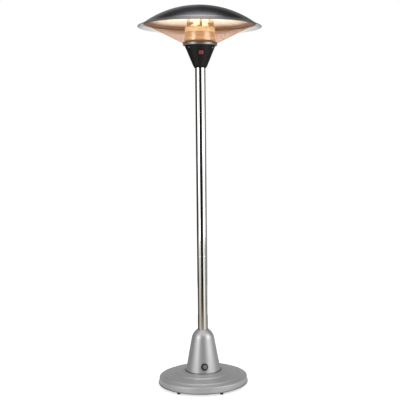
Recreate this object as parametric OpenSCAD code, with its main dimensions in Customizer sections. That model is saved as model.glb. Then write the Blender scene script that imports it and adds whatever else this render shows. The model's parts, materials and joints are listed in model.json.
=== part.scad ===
// Free-standing electric halogen heater for a terrace: a weighted round base, a
// three-piece pole, a switch housing and a domed head with three lamps in a guard.
// Millimetres, +Z up, origin on the floor under the middle of the base, front at -Y.

/* [Base] */
// Diameter over the rolled rim of the base cover
base_d = 500; // [440:5:600]
// Height of the rolled rim above the floor
rim_gap = 11.5; // [9:0.5:15]
// How far the cover's outer wall leans in between its rim and its top
wall_lean = 5.5; // [3:0.5:10]
// Height of the cover at the top of its outer wall
base_edge_h = 46; // [42:1:54]
// Height of the flat middle of the base cover
base_top_h = 78; // [74:1:96]
// Diameter of the flat middle of the base cover
flat_d = 214; // [206:2:236]
// Width of the outer sloping ring of the cover
outer_ring_w = 24.5; // [20:0.5:32]
// Width of the middle sloping ring of the cover
middle_ring_w = 56; // [40:1:60]
// Fall of each step between two rings
step_h = 5.5; // [3:0.5:7]
// Width of each step between two rings
step_w = 8; // [5:1:12]
// Thickness of the base cover's sheet
base_sheet = 1.5; // [1:0.1:2]
// Radius of the rolled rim
bead_r = 3.5; // [2.5:0.5:4]

/* [Feet and ballast] */
// Number of rubber feet
foot_count = 6; // [3:1:8]
// Diameter of a foot
foot_d = 21; // [16:1:26]
// Height of a foot
foot_h = 16; // [15:0.5:20]
// Distance of the feet's middles inside the rim of the base
foot_inset = 19; // [18.5:0.5:24]
// Turn of the first foot away from the front
foot_turn = 20; // [0:1:60]
// Thickness of the bottom plate
plate_t = 2; // [1.5:0.5:4]
// Distance of the concrete ballast inside the rim of the base
ballast_inset = 50; // [40:1:60]
// Space between the ballast and the sloping rings of the cover
ballast_gap = 8; // [2:0.5:10]

/* [Pole] */
// Outside diameter of the pole
pole_d = 57; // [50:1:60]
// Wall of the pole
pole_wall = 1.2; // [1:0.1:2]
// Length of the lower pole section
lower_len = 640; // [500:10:700]
// Length of the middle pole section
middle_len = 650; // [500:10:700]
// Length of the upper pole section
upper_len = 501; // [400:1:700]
// Length of the sleeve in each pole joint
sleeve_len = 120; // [80:10:200]
// Wall of the sleeves, the socket and the head's stub
sleeve_wall = 2.4; // [2:0.1:4]
// Radial clearance of a sleeve in the pole
sleeve_gap = 0.05; // [0.02:0.01:0.2]

/* [Pole socket] */
// Diameter of the socket's flange
flange_d = 150; // [136:2:160]
// Thickness of the socket's flange
flange_t = 4; // [3:0.5:6]
// Height of the socket's stub above its flange
stub_h = 110; // [80:5:160]
// Diameter of the circle of the socket bolts
bolt_circle_d = 118; // [104:1:126]
// Diameter of a socket bolt
bolt_d = 8; // [6:1:10]

/* [Cone cover] */
// Height of the cone cover
cone_h = 231; // [180:1:300]
// Diameter at the foot of the cone cover
cone_foot_d = 192; // [184:1:196]
// Diameter of the cone cover where its side meets the shoulder
cone_top_d = 117; // [100:1:130]
// Height of the shoulder
cone_cap_h = 20; // [18:1:40]
// Radius of the rounding between side and shoulder
cone_round = 72; // [30:2:80]
// Space round the pole in the hole at the top
cone_gap = 3; // [1:0.5:4]
// Width of the flared lip at the foot
cone_lip = 2.5; // [1:0.5:4]
// Sheet of the cone cover
cone_sheet = 1.5; // [1:0.1:2.5]
// Diameter of the blank badge
badge_d = 42; // [30:1:56]
// Height of the badge's middle above the base's flat top
badge_z = 38; // [30:1:80]
// Thickness of the badge
badge_t = 0.8; // [0.5:0.1:1.5]

/* [Neck housing] */
// Diameter at the top of the neck housing
neck_top_d = 168; // [164:1:180]
// Diameter at the lower end of the neck's slope
neck_low_d = 77; // [74:1:84]
// Height of the neck's slope
neck_h = 109; // [100:1:140]
// Height of the chamfer under the slope
neck_tip_h = 11; // [6:1:16]
// Wall of the neck housing
neck_wall = 2.5; // [2:0.1:3]
// Space round the pole at the neck's lower end
neck_gap = 0.8; // [0.3:0.1:1.5]
// Turn of the neck's screws away from the front and from the back
neck_screw_turn = 53; // [45:1:60]
// Distance of the neck's screws below its top
neck_screw_drop = 12; // [9:0.5:14]

/* [Switch] */
// Height of the switch's middle below the neck's top
switch_drop = 41; // [38:1:60]
// Width of one rocker
rocker_w = 11.4; // [8:0.1:12.5]
// Length of one rocker
rocker_len = 21; // [18:0.5:24]
// Turn of a rocker from one end to the other, in degrees
rocker_throw = 16; // [10:1:20]
// Side clearance of a rocker in its well
rocker_gap = 0.2; // [0.1:0.05:0.4]
// Radius of a rocker's pins
pin_r = 1.2; // [0.9:0.1:1.6]
// Radial clearance of a rocker's pins
pin_gap = 0.05; // [0.02:0.01:0.08]
// Depth of the switch behind the neck's pad
switch_depth = 14; // [12:0.5:18]

/* [Lamp drum] */
// Outside diameter of the collar ring
collar_d = 186; // [180:1:196]
// Height of the collar ring
collar_h = 12; // [8:0.5:16]
// Diameter of the insulating ring
insulator_d = 168; // [160:1:172]
// Width of the insulating ring from its inner to its outer edge
insulator_w = 27; // [24:1:32]
// Height of the insulating ring above the collar's floor
insulator_h = 22.8; // [18:0.1:30]
// Diameter of the drum
drum_d = 165; // [158:1:168]
// Diameter of the drum's foot band
drum_foot_d = 172; // [168:1:176]
// Height of the drum's foot band
drum_foot_h = 12; // [6:0.5:16]
// Height of the drum
drum_h = 44; // [36:1:60]
// Height of the drum's cap
cap_h = 28; // [16:1:40]
// Sheet of the collar, drum and cap
drum_sheet = 1.2; // [0.8:0.1:2]

/* [Lamps] */
// Radius of the circle of the lamp holders
holder_circle_r = 74; // [72:0.5:75]
// Width of a lamp holder
holder_w = 14; // [12:0.5:15]
// Height of a lamp holder
holder_h = 36; // [30:1:50]
// Height of the lamps above the drum's cap
lamp_rise = 19; // [15:0.5:24]
// Outside diameter of a lamp's quartz tube
lamp_d = 12; // [8:0.5:13]
// Wall of the quartz tube
lamp_wall = 1.2; // [0.8:0.1:1.5]
// Length of the ceramic end of a lamp
lamp_end_len = 13; // [10:0.5:16]

/* [Head] */
// Diameter of the dome over its rim
dome_d = 673; // [640:1:760]
// Width of the brim round the dome
brim_w = 30.5; // [20:0.5:36]
// Height of the brim
brim_h = 17; // [10:0.5:22]
// Height of the dome from its rim to its top
dome_h = 116; // [110:1:150]
// Height of the dome's rim above the neck's top
rim_rise = 99; // [96:1:120]
// Sheet of the dome
dome_sheet = 1.2; // [0.8:0.1:2]
// Radius of the rolled edge of the dome
hem_r = 2; // [1.5:0.1:3]
// Diameter of the dome's bracket
dome_bracket_d = 184; // [170:2:220]
// Depth of the dome's bracket below the top of the dome
dome_bracket_drop = 29; // [22:1:40]
// Radius of the circle of the tie rods
rod_circle_r = 66; // [60:0.5:67]
// Diameter of a tie rod
rod_d = 6; // [4:0.5:6.5]
// Outside diameter of a post tube
post_d = 12; // [9:0.5:16]
// Radius of the circle of the guard's top hoop
guard_top_r = 299; // [280:1:300]
// Radius of the top hoop's wire
top_wire_r = 2.5; // [1.5:0.1:3]
// Radius of the bottom hoop's wire
bottom_wire_r = 2; // [1:0.1:2.5]
// Thickness of the guard's mesh
mesh_t = 0.6; // [0.4:0.1:1.5]

/* [Hidden] */
$fn = 96;

silver = "silver";
steel = "lightgray";
black = [0.1, 0.1, 0.1];
copper = [0.85, 0.6, 0.42];
ceramic = [0.92, 0.9, 0.84];
brass = [0.8, 0.65, 0.3];
// Clearance round a screw or bolt in a plain hole, in a tapped one, and under the dome
hole_gap = 0.3;
tap_gap = 0.05;
seat_gap = 0.1;

// Base
wall_r = base_d / 2 - wall_lean;
ring2_r = wall_r - outer_ring_w - step_w;
ring1_r = ring2_r - middle_ring_w - step_w;
foot_circle_r = base_d / 2 - foot_inset;
ballast_r = base_d / 2 - ballast_inset;
ballast_slope_w = 6;
plate_r = base_d / 2 - 2 * bead_r - 0.5;
plate_z = foot_h;
ballast_z = plate_z + plate_t;
cable_r = 4;
cable_bend_r = 35;
grommet_r = cable_r + 3;
grommet_flange_r = cable_r + 6;
cable_z = ballast_z + grommet_r + 0.5;
cable_hole_r = cable_r + 2;
window_bend_r = 15;
hub_hole_r = cable_bend_r + cable_r + 1;
foot_screw_r = 2.5;
foot_screw_head_r = 4.5;
foot_recess = 6;
foot_taper = 1.5;

// Pole
pole_r = pole_d / 2;
bore_r = pole_r - pole_wall;
sleeve_r = bore_r - sleeve_gap;
flange_z = base_top_h;
pole_z = flange_z + flange_t;
joint1_z = pole_z + lower_len;
joint2_z = joint1_z + middle_len;
pole_top_z = joint2_z + upper_len;
bolt_r = bolt_d / 2;
washer_t = 1.5;
nut_h = 0.7 * bolt_d;
cross_screw_r = 2.5;
cross_head_r = 4.5;
cross_head_h = 2.5;
socket_screw_z = pole_z + stub_h / 2;

// Head, built up from the deck: the top of the bracket's plate and of the neck
bracket_t = 3;
deck_z = pole_top_z + bracket_t;
bracket_stub_h = 90;
bracket_screw_z = pole_top_z - 50;
wire_hole_r = 20;
neck_slope = (neck_top_d - neck_low_d) / 2 / neck_h;
neck_lean = atan(neck_slope);
function neck_r(z) = neck_top_d / 2 - (deck_z - z) * neck_slope;
lip_gap = 0.3;
lip_t = 2;
lip_h = 18;
neck_screw_r = 2;
neck_head_r = 3.8;
neck_head_h = 2.2;
neck_screw_z = deck_z - neck_screw_drop;

// Switch, in the frame of the neck's front: x right, y up the slope, z outwards
switch_z = deck_z - switch_drop;
pad_h = 1.2;
pad_depth = 5;
switch_wall = 1.2;
middle_wall = 1.6;
well_w = rocker_w + 2 * rocker_gap;
end_gap = 1.3;
well_len = rocker_len + 2 * end_gap;
body_w = 2 * well_w + middle_wall + 2 * switch_wall;
body_len = well_len + 2 * switch_wall;
bezel_side = 2;
bezel_t = 2;
bezel_w = body_w + 2 * bezel_side;
bezel_len = body_len + 2 * bezel_side;
pad_w = bezel_w + 3;
pad_len = bezel_len + 3;
body_gap = 0.15;
pivot_z = -3.5;
floor_t = 2;
rocker_x = (well_w + middle_wall) / 2;
rocker_face_z = 2.3;
pin_len = 0.6;
blade_w = 6.3;
blade_t = 0.8;
blade_len = 9;

// Drum stack
collar_r = collar_d / 2;
insulator_z = deck_z + drum_sheet;
drum_z = insulator_z + insulator_h;
cap_z = drum_z + drum_h;
cap_top_z = cap_z + cap_h;
rod_r = rod_d / 2;
rod_head_h = 4;
lamp_z = cap_top_z + lamp_rise;
holder_count = 3;
lamp_span = holder_circle_r * sqrt(3);
lamp_end_r = 5.5;
socket_boss_r = 7.5;
socket_reach = 18;
lamp_start = 12;
lead_r = 1.6;
core_r = 1;

// Dome: a cap of a sphere with a straight brim
dome_r = dome_d / 2;
rim_z = deck_z + rim_rise;
dome_top_z = rim_z + dome_h;
brim_r = dome_r - brim_w;
cap_rise = dome_h - brim_h;
sphere_r = (brim_r * brim_r + cap_rise * cap_rise) / (2 * cap_rise);
sphere_z = dome_top_z - sphere_r;
brim_turn = asin(brim_r / sphere_r);
dome_plate_z = dome_top_z - dome_bracket_drop;
dome_plate_t = 2;
rod_nut_h = 5;

// Guard
top_hoop_z = sphere_z
    + sqrt(pow(sphere_r - dome_sheet - seat_gap - top_wire_r, 2) - guard_top_r * guard_top_r);
bottom_hoop_r = collar_r - drum_sheet / 2;
bottom_hoop_z = deck_z + collar_h + bottom_wire_r;

// Paths in the plane of radius and height
function reversed(p) = [for (i = [len(p) - 1 : -1 : 0]) p[i]];
function way(a, b) = (b - a) / norm(b - a);
function left(d) = [-d[1], d[0]];
// A path moved sideways by t, with mitred corners
function beside(p, t) = [for (i = [0 : len(p) - 1])
    let (last = len(p) - 1,
         a = i == 0 ? way(p[0], p[1]) : way(p[i - 1], p[i]),
         b = i == last ? a : way(p[i], p[i + 1]),
         m = left(a) + left(b))
    p[i] + 2 * t * m / (m * m)];
// One corner b of a path a, b, c as an arc of radius r
function corner(a, b, c, r, n = 5) =
    let (u = way(a, b),
         v = way(b, c),
         turn = atan2(u[0] * v[1] - u[1] * v[0], u * v),
         start = b - u * r * tan(abs(turn) / 2),
         side = turn > 0 ? 1 : -1,
         middle = start + side * r * left(u),
         arm = start - middle)
    [for (k = [0 : n])
        let (t = turn * k / n)
        middle + [arm[0] * cos(t) - arm[1] * sin(t), arm[0] * sin(t) + arm[1] * cos(t)]];
// A path with its inner corners rounded, r[i] being the radius at point i + 1
function rounded(p, r) = concat([p[0]],
    [for (i = [1 : len(p) - 2]) each (r[i - 1] > 0 ? corner(p[i - 1], p[i], p[i + 1], r[i - 1]) : [p[i]])],
    [p[len(p) - 1]]);
function arc(r, from, to, n) = [for (k = [0 : n])
    let (t = from + (to - from) * k / n) [r * sin(t), r * cos(t)]];

// A turned sheet: the path is its outer face and the metal lies to the left of it
module turned_sheet(path, t) {
    rotate_extrude() polygon(concat(path, reversed(beside(path, t))));
}

module ring(r_out, r_in, z0, z1) {
    difference() {
        translate([0, 0, z0]) cylinder(r = r_out, h = z1 - z0);
        translate([0, 0, z0 - 1]) cylinder(r = r_in, h = z1 - z0 + 2);
    }
}

module rod(r, z0, z1) {
    translate([0, 0, z0]) cylinder(r = r, h = z1 - z0, $fn = 32);
}

// Copies on a circle, the first one turned from the front by start
module on_circle(count, radius, start = 0) {
    for (k = [0 : count - 1]) rotate(start + 360 * k / count) translate([0, -radius, 0]) children();
}

module rounded_rect(w, h, r) {
    square([w - 2 * r, h], center = true);
    square([w, h - 2 * r], center = true);
    for (x = [-1, 1], y = [-1, 1]) translate([x * (w / 2 - r), y * (h / 2 - r)]) circle(r = r, $fn = 32);
}

// A wire along straight runs, with a bead at each bend, turned out of line with both runs
bead_rise = 0.4;
bead_turn = [40, 25, 10];

module wire(points, r) {
    for (i = [0 : len(points) - 2]) {
        d = points[i + 1] - points[i];
        translate(points[i]) rotate([0, acos(d[2] / norm(d)), atan2(d[1], d[0])])
            cylinder(r = r, h = norm(d), $fn = 16);
    }
    for (i = [1 : len(points) - 2]) translate(points[i]) rotate(bead_turn)
        sphere(r = r + bead_rise, $fn = 16);
}

// ---- Base ----

module rubber_feet() {
    color(black) on_circle(foot_count, foot_circle_r, foot_turn) difference() {
        cylinder(r1 = foot_d / 2 - foot_taper, r2 = foot_d / 2, h = foot_h);
        rod(foot_screw_r + hole_gap, -1, foot_h + 1);
        rod(foot_screw_head_r + hole_gap, -1, foot_recess);
    }
}

module foot_screws() {
    color(steel) on_circle(foot_count, foot_circle_r, foot_turn) {
        rod(foot_screw_r, foot_recess, ballast_z);
        rod(foot_screw_head_r, foot_recess - 3, foot_recess);
    }
}

module bolt_holes(r, z0, z1) {
    on_circle(4, bolt_circle_d / 2, 45) rod(r, z0, z1);
}

module base_plate() {
    color(steel) difference() {
        ring(plate_r, hub_hole_r, plate_z, ballast_z);
        on_circle(foot_count, foot_circle_r, foot_turn)
            rod(foot_screw_r + tap_gap, plate_z - 1, ballast_z + 1);
        bolt_holes(bolt_r + hole_gap, plate_z - 1, ballast_z + 1);
    }
}

// Key points of the cover's upper face: flat, ring, step, ring, step, edge, wall
ring_fall = (base_top_h - base_edge_h - 2 * step_h) / 3;
cover_flat_r = flat_d / 2;
cover_face = [
    [cover_flat_r, base_top_h],
    [ring1_r, base_top_h - ring_fall],
    [ring1_r + step_w, base_top_h - ring_fall - step_h],
    [ring2_r, base_top_h - 2 * ring_fall - step_h],
    [ring2_r + step_w, base_top_h - 2 * ring_fall - 2 * step_h],
    [wall_r, base_edge_h]];
cover_path = rounded(concat([[base_d / 2 - bead_r, rim_gap + bead_r]], reversed(cover_face),
    [[hub_hole_r, base_top_h]]), [6, 4, 3, 4, 3, 8]);

module ballast() {
    drop = [0, base_sheet + ballast_gap];
    top = [for (p = reversed([for (p = cover_face) if (p[0] < ballast_r) p])) p - drop];
    edge = [ballast_r, lookup(ballast_r, cover_face)] - drop;
    flat_z = base_top_h - base_sheet;
    color([0.6, 0.6, 0.58]) difference() {
        rotate_extrude() polygon(concat(
            [[hub_hole_r, ballast_z], [ballast_r, ballast_z], edge],
            top, [[cover_flat_r - ballast_slope_w, flat_z], [hub_hole_r, flat_z]]));
        bolt_holes(bolt_r + hole_gap, ballast_z - 1, base_top_h);
        translate([-cable_hole_r, 0, ballast_z - 1])
            cube([2 * cable_hole_r, 2 * ballast_r, cable_z - ballast_z + cable_hole_r]);
    }
}

module cover_blank() {
    turned_sheet(cover_path, base_sheet);
    rotate_extrude() translate([base_d / 2 - bead_r, rim_gap + bead_r]) circle(r = bead_r, $fn = 32);
}

module base_cover() {
    color(silver) difference() {
        cover_blank();
        bolt_holes(bolt_r + hole_gap, base_top_h - 10, base_top_h + 1);
        translate([0, wall_r - 10, cable_z]) rotate([-90, 0, 0]) cylinder(r = grommet_r + tap_gap, h = 30);
    }
}

module cable_grommet() {
    inner_y = wall_r - 8;
    flange_y = base_d / 2 - 1.2;
    color(black) difference() {
        translate([0, 0, cable_z]) rotate([-90, 0, 0]) {
            translate([0, 0, inner_y]) cylinder(r = grommet_r, h = flange_y - inner_y);
            difference() {
                translate([0, 0, wall_r - 2]) cylinder(r = grommet_flange_r, h = flange_y - wall_r + 2);
                translate([0, 0, wall_r - 3]) cylinder(r = grommet_r - 1, h = 20);
            }
        }
        difference() {
            rotate_extrude() polygon(concat(cover_path, [[0, base_top_h], [0, rim_gap + bead_r]]));
            translate([0, wall_r - 20, cable_z]) rotate([-90, 0, 0]) cylinder(r = grommet_r, h = 60);
        }
        rotate_extrude() translate([base_d / 2 - bead_r, rim_gap + bead_r]) circle(r = bead_r, $fn = 32);
        translate([0, wall_r - 20, cable_z]) rotate([-90, 0, 0]) cylinder(r = cable_r + tap_gap, h = 60);
    }
}

module pole_socket() {
    color(steel) difference() {
        union() {
            translate([0, 0, flange_z]) cylinder(r = flange_d / 2, h = flange_t);
            translate([0, 0, flange_z]) cylinder(r = sleeve_r, h = flange_t + stub_h);
        }
        translate([0, 0, flange_z - 1]) cylinder(r = sleeve_r - sleeve_wall, h = flange_t + stub_h + 2);
        bolt_holes(bolt_r + hole_gap, flange_z - 1, pole_z + 1);
        cross_holes(socket_screw_z, tap_gap);
    }
}

// Two holes from side to side, for the screws that lock a sleeve in the pole
module cross_holes(z, gap) {
    translate([-pole_d, 0, z]) rotate([0, 90, 0]) cylinder(r = cross_screw_r + gap, h = 2 * pole_d, $fn = 32);
}

module cross_screws(z) {
    for (side = [-1, 1]) translate([0, 0, z]) rotate([0, side * 90, 0]) {
        rod(cross_screw_r, sleeve_r - sleeve_wall - 1, pole_r);
        difference() {
            rod(cross_head_r, pole_r - 1, pole_r + cross_head_h);
            rotate([0, -side * 90, 0]) translate([0, 0, -20]) cylinder(r = pole_r, h = 40);
        }
    }
}

module socket_bolts() {
    color(steel) on_circle(4, bolt_circle_d / 2, 45) {
        rod(bolt_r, plate_z - washer_t - nut_h - 1, pole_z);
        translate([0, 0, pole_z]) cylinder(r = 0.9 * bolt_d, h = 0.65 * bolt_d, $fn = 6);
    }
}

module socket_washers() {
    color(steel) on_circle(4, bolt_circle_d / 2, 45) ring(1.1 * bolt_d, bolt_r + hole_gap, plate_z - washer_t, plate_z);
}

module socket_nuts() {
    color(steel) on_circle(4, bolt_circle_d / 2, 45) difference() {
        translate([0, 0, plate_z - washer_t - nut_h]) cylinder(r = 0.9 * bolt_d, h = nut_h, $fn = 6);
        rod(bolt_r + tap_gap, 0, plate_z);
    }
}

module socket_screws() {
    color(steel) cross_screws(socket_screw_z);
}

// ---- Cone cover ----

cone_z = base_top_h;
cone_path = rounded([
    [cone_foot_d / 2 + cone_lip, cone_z],
    [cone_foot_d / 2, cone_z + cone_lip + 1],
    [cone_top_d / 2, cone_z + cone_h - cone_cap_h],
    [pole_r + cone_gap, cone_z + cone_h]], [3, cone_round]);

module cone_cover() {
    color(silver) difference() {
        turned_sheet(cone_path, cone_sheet);
        translate([0, 0, cone_z - 10]) cylinder(r = cone_foot_d, h = 10);
    }
}

module cone_badge() {
    color([0.75, 0.75, 0.76]) intersection() {
        difference() {
            rotate_extrude() polygon(concat(beside(cone_path, -badge_t), [[0, cone_z + cone_h], [0, cone_z]]));
            rotate_extrude() polygon(concat(cone_path, [[0, cone_z + cone_h], [0, cone_z]]));
        }
        translate([0, 0, cone_z + badge_z]) rotate([90, 0, 0]) cylinder(d = badge_d, h = cone_foot_d);
    }
}

// ---- Pole ----

module tube(z0, z1) {
    ring(pole_r, bore_r, z0, z1);
}

module pole_lower() {
    color(steel) difference() {
        tube(pole_z, joint1_z);
        cross_holes(socket_screw_z, hole_gap);
    }
}

module pole_middle() {
    color(steel) tube(joint1_z, joint2_z);
}

module pole_upper() {
    color(steel) difference() {
        tube(joint2_z, pole_top_z);
        cross_holes(bracket_screw_z, hole_gap);
        cable_window();
    }
}

// The opening in the back of the pole's top where the cable comes out
module cable_window() {
    translate([0, 0, window_z]) rotate([-90, 0, 0]) cylinder(r = cable_hole_r, h = pole_d);
}

module pole_joiners() {
    color(steel) for (z = [joint1_z, joint2_z])
        ring(sleeve_r, sleeve_r - sleeve_wall, z - sleeve_len / 2, z + sleeve_len / 2);
}

// A quarter bend of the cable that leaves the pole's middle line backwards
module cable_bend(r, z, turn) {
    translate([0, r, z]) rotate([turn, 0, -90]) rotate_extrude(angle = 90)
        translate([r, 0]) circle(r = cable_r, $fn = 32);
}

// The supply cable from the base's inlet, up the pole and out at its back
module inner_cable() {
    color(black) {
        rod(cable_r, cable_z + cable_bend_r, window_z - window_bend_r);
        cable_bend(cable_bend_r, cable_z + cable_bend_r, -90);
        cable_bend(window_bend_r, window_z - window_bend_r, 90);
        translate([0, cable_bend_r, cable_z]) rotate([-90, 0, 0])
            cylinder(r = cable_r, h = wall_r - 6 - cable_bend_r, $fn = 32);
        translate([0, window_bend_r, window_z]) rotate([-90, 0, 0])
            cylinder(r = cable_r, h = cable_end_y - window_bend_r, $fn = 32);
    }
}

// ---- Neck ----

lip_side = (neck_wall + lip_gap) / cos(neck_lean);
lip_low_z = deck_z - lip_h;
window_z = pole_top_z - 32;
cable_end_y = pole_r + 6;

module rod_holes(gap, z0, z1) {
    on_circle(holder_count, rod_circle_r) rod(rod_r + gap, z0, z1);
}

module head_bracket() {
    lip_in = lip_side + lip_t / cos(neck_lean);
    color(steel) difference() {
        union() {
            rotate_extrude() polygon([
                [wire_hole_r, deck_z - bracket_t],
                [neck_r(deck_z - bracket_t) - lip_in, deck_z - bracket_t],
                [neck_r(lip_low_z) - lip_in, lip_low_z],
                [neck_r(lip_low_z) - lip_side, lip_low_z],
                [neck_r(deck_z) - lip_side, deck_z],
                [wire_hole_r, deck_z]]);
            ring(sleeve_r, sleeve_r - sleeve_wall, pole_top_z - bracket_stub_h, pole_top_z + 1);
        }
        rod_holes(hole_gap, deck_z - 10, deck_z + 1);
        lead_holes(deck_z - 10, deck_z + 1);
        cross_holes(bracket_screw_z, tap_gap);
        cable_window();
        each_neck_screw() rod(neck_screw_r + tap_gap, -12, 3);
    }
}

module bracket_screws() {
    color(steel) cross_screws(bracket_screw_z);
}

// The frame of the neck's outer face at height z: x right, y up the slope, z outwards
module on_neck(turn, z) {
    rotate(turn) translate([0, -neck_r(z), z]) rotate([90 + neck_lean, 0, 0]) children();
}

module each_neck_screw() {
    for (turn = [-neck_screw_turn, neck_screw_turn, 180 - neck_screw_turn, 180 + neck_screw_turn])
        on_neck(turn, neck_screw_z) children();
}

neck_path = rounded([
    [pole_r + neck_gap, deck_z - neck_h - neck_tip_h],
    [pole_r + neck_gap + neck_wall, deck_z - neck_h - neck_tip_h],
    [neck_low_d / 2, deck_z - neck_h],
    [neck_top_d / 2, deck_z]], [0, 4]);

module neck_housing() {
    neck_inside = beside([[pole_r + neck_gap + neck_wall, deck_z - neck_h - neck_tip_h],
        [neck_low_d / 2, deck_z - neck_h], [neck_top_d / 2, deck_z]], neck_wall);
    color(black) difference() {
        union() {
            rotate_extrude() polygon(concat(neck_path,
                [[neck_inside[2][0], deck_z], neck_inside[1],
                 [pole_r + neck_gap, deck_z - neck_h - neck_tip_h + neck_wall]]));
            on_neck(0, switch_z) translate([0, 0, -pad_depth])
                linear_extrude(pad_depth + pad_h) rounded_rect(pad_w, pad_len, 3);
        }
        on_neck(0, switch_z) translate([0, 0, -20]) linear_extrude(40)
            square([body_w + 2 * body_gap, body_len + 2 * body_gap], center = true);
        each_neck_screw() rod(neck_screw_r + hole_gap, -12, 3);
    }
}

module neck_screws() {
    color(steel) each_neck_screw() {
        rod(neck_screw_r, -8, 0.2);
        rod(neck_head_r, 0.2, neck_head_h);
    }
}

// ---- Switch ----

module on_pad() {
    on_neck(0, switch_z) translate([0, 0, pad_h]) children();
}

module blades(extra) {
    for (side = [-1, 1], y = [-well_len / 4, well_len / 4])
        translate([side * rocker_x, y, floor_t / 2 - switch_depth - blade_len / 2])
            cube([blade_w + 2 * extra, blade_t + 2 * extra, blade_len + floor_t + extra], center = true);
}

module switch_body() {
    color(black) on_pad() difference() {
        union() {
            linear_extrude(bezel_t) rounded_rect(bezel_w, bezel_len, 2);
            translate([0, 0, -switch_depth / 2]) cube([body_w, body_len, switch_depth], center = true);
        }
        for (side = [-1, 1]) translate([side * rocker_x, 0, (bezel_t + 1 - switch_depth + floor_t) / 2])
            cube([well_w, well_len, bezel_t + 1 + switch_depth - floor_t], center = true);
        translate([0, 0, pivot_z]) rotate([0, 90, 0])
            cylinder(r = pin_r + pin_gap, h = 2 * well_w + middle_wall + 1.6, center = true, $fn = 32);
        blades(tap_gap);
    }
}

// A rocker with its upper half pressed in, the position in which it switches on
module rocker(side) {
    dip = rocker_throw / 2;
    mid = (rocker_face_z - pivot_z) / cos(dip);
    rise = rocker_len / 2 * tan(dip);
    end_low = 2;
    boss = pin_r + 1.8;
    on_pad() translate([side * rocker_x, 0, pivot_z]) rotate([-dip, 0, 0]) {
        rotate([90, 0, 90]) translate([0, 0, -rocker_w / 2]) {
            linear_extrude(rocker_w) polygon([[-rocker_len / 2, mid + rise], [0, mid], [rocker_len / 2, mid + rise],
                [rocker_len / 2, end_low], [boss, -boss / 2], [-boss, -boss / 2], [-rocker_len / 2, end_low]]);
            cylinder(r = boss, h = rocker_w, $fn = 32);
        }
        rotate([0, 90, 0]) cylinder(r = pin_r, h = rocker_w + 2 * rocker_gap + 2 * pin_len, center = true, $fn = 32);
    }
}

module rocker_left() {
    color([0.75, 0.1, 0.08]) rocker(-1);
}

module rocker_right() {
    color([0.75, 0.1, 0.08]) rocker(1);
}

module switch_terminals() {
    color(brass) on_pad() blades(0);
}

block_y = 50;
block_w = 40;
block_d = 14;
block_h = 14;
block_hole_r = 2.2;
block_pitch = 13;

module at_terminals() {
    for (k = [-1 : 1]) translate([k * block_pitch, block_y, 0]) children();
}

module lead_holes(z0, z1) {
    at_terminals() rod(lead_r + hole_gap, z0, z1);
}

module terminal_block() {
    color(ceramic) difference() {
        translate([-block_w / 2, block_y - block_d / 2, pole_top_z - block_h]) cube([block_w, block_d, block_h]);
        at_terminals() rod(block_hole_r, pole_top_z - block_h - 1, pole_top_z - 4);
    }
}

module terminal_screws() {
    color(brass) at_terminals() rod(block_hole_r - tap_gap, pole_top_z - block_h + 2, pole_top_z - 4);
}

tilt_x = 52;
tilt_size = [14, 26, 24];

module tip_over_switch() {
    color([0.85, 0.85, 0.82]) translate([tilt_x - tilt_size[0] / 2, -tilt_size[1] / 2, pole_top_z - tilt_size[2]])
        cube(tilt_size);
}

// From each pair of switch blades round the pole to the terminal block
module switch_wires() {
    color([0.5, 0.1, 0.1]) for (side = [-1, 1])
        wire([[side * rocker_x, -40, switch_z - 12], [side * 40, 0, switch_z - 4],
            [side * (block_pitch + 3.5), block_y, pole_top_z - block_h - lead_r]], lead_r);
}

// From the cable's end to the terminals
module supply_wires() {
    color([0.25, 0.35, 0.6]) for (k = [-1 : 1])
        wire([[2 * k, cable_end_y + core_r, window_z], [k * block_pitch, block_y, window_z + 10],
            [k * block_pitch, block_y, pole_top_z - block_h]], core_r);
}

// From the terminals up through the drum to the lamp holders
module lamp_wires() {
    color([0.85, 0.8, 0.7]) for (k = [-1 : 1]) {
        turn = 180 + k * 120;
        foot = [-k * block_pitch, block_y];
        head = holder_circle_r * [sin(turn), -cos(turn)];
        wire([[foot[0], foot[1], pole_top_z], [foot[0], foot[1], drum_z + 8],
            [head[0], head[1], cap_z + 8], [head[0], head[1], cap_top_z + 5]], lead_r);
    }
}

// ---- Drum stack ----

module collar_ring() {
    path = rounded([[wire_hole_r, deck_z], [collar_r, deck_z], [collar_r, deck_z + collar_h]], [2]);
    color(silver) difference() {
        turned_sheet(path, drum_sheet);
        rod_holes(hole_gap, deck_z - 1, deck_z + 5);
        lead_holes(deck_z - 1, deck_z + 5);
    }
}

module insulating_ring() {
    color([0.25, 0.22, 0.2]) difference() {
        ring(insulator_d / 2, insulator_d / 2 - insulator_w, insulator_z, drum_z);
        rod_holes(hole_gap, insulator_z - 1, drum_z + 1);
    }
}

module lamp_drum() {
    path = rounded([[wire_hole_r, drum_z], [drum_foot_d / 2, drum_z], [drum_foot_d / 2, drum_z + drum_foot_h],
        [drum_d / 2, drum_z + drum_foot_h + 2], [drum_d / 2, cap_z]], [2, 1.5, 1]);
    color(copper) difference() {
        turned_sheet(path, drum_sheet);
        rod_holes(hole_gap, drum_z - 1, drum_z + 5);
        lead_holes(drum_z - 1, drum_z + 5);
    }
}

module drum_cap() {
    path = rounded([[drum_d / 2, cap_z], [drum_d / 2, cap_top_z], [wire_hole_r, cap_top_z]], [2]);
    color(copper) difference() {
        union() {
            turned_sheet(path, drum_sheet);
            translate([0, 0, cap_top_z - drum_sheet]) cylinder(r = wire_hole_r + 1, h = drum_sheet);
        }
        rod_holes(hole_gap, cap_top_z - 5, cap_top_z + 1);
        on_circle(holder_count, holder_circle_r, 60) rod(lead_r + 0.4, cap_top_z - 5, cap_top_z + 1);
    }
}

// ---- Lamps ----

// Children stand along both lamps of a holder: z points from the holder to its neighbour
module lamp_ways() {
    for (side = [-1, 1]) rotate(-side * 30) rotate([-90, 0, 0]) children();
}

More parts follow.
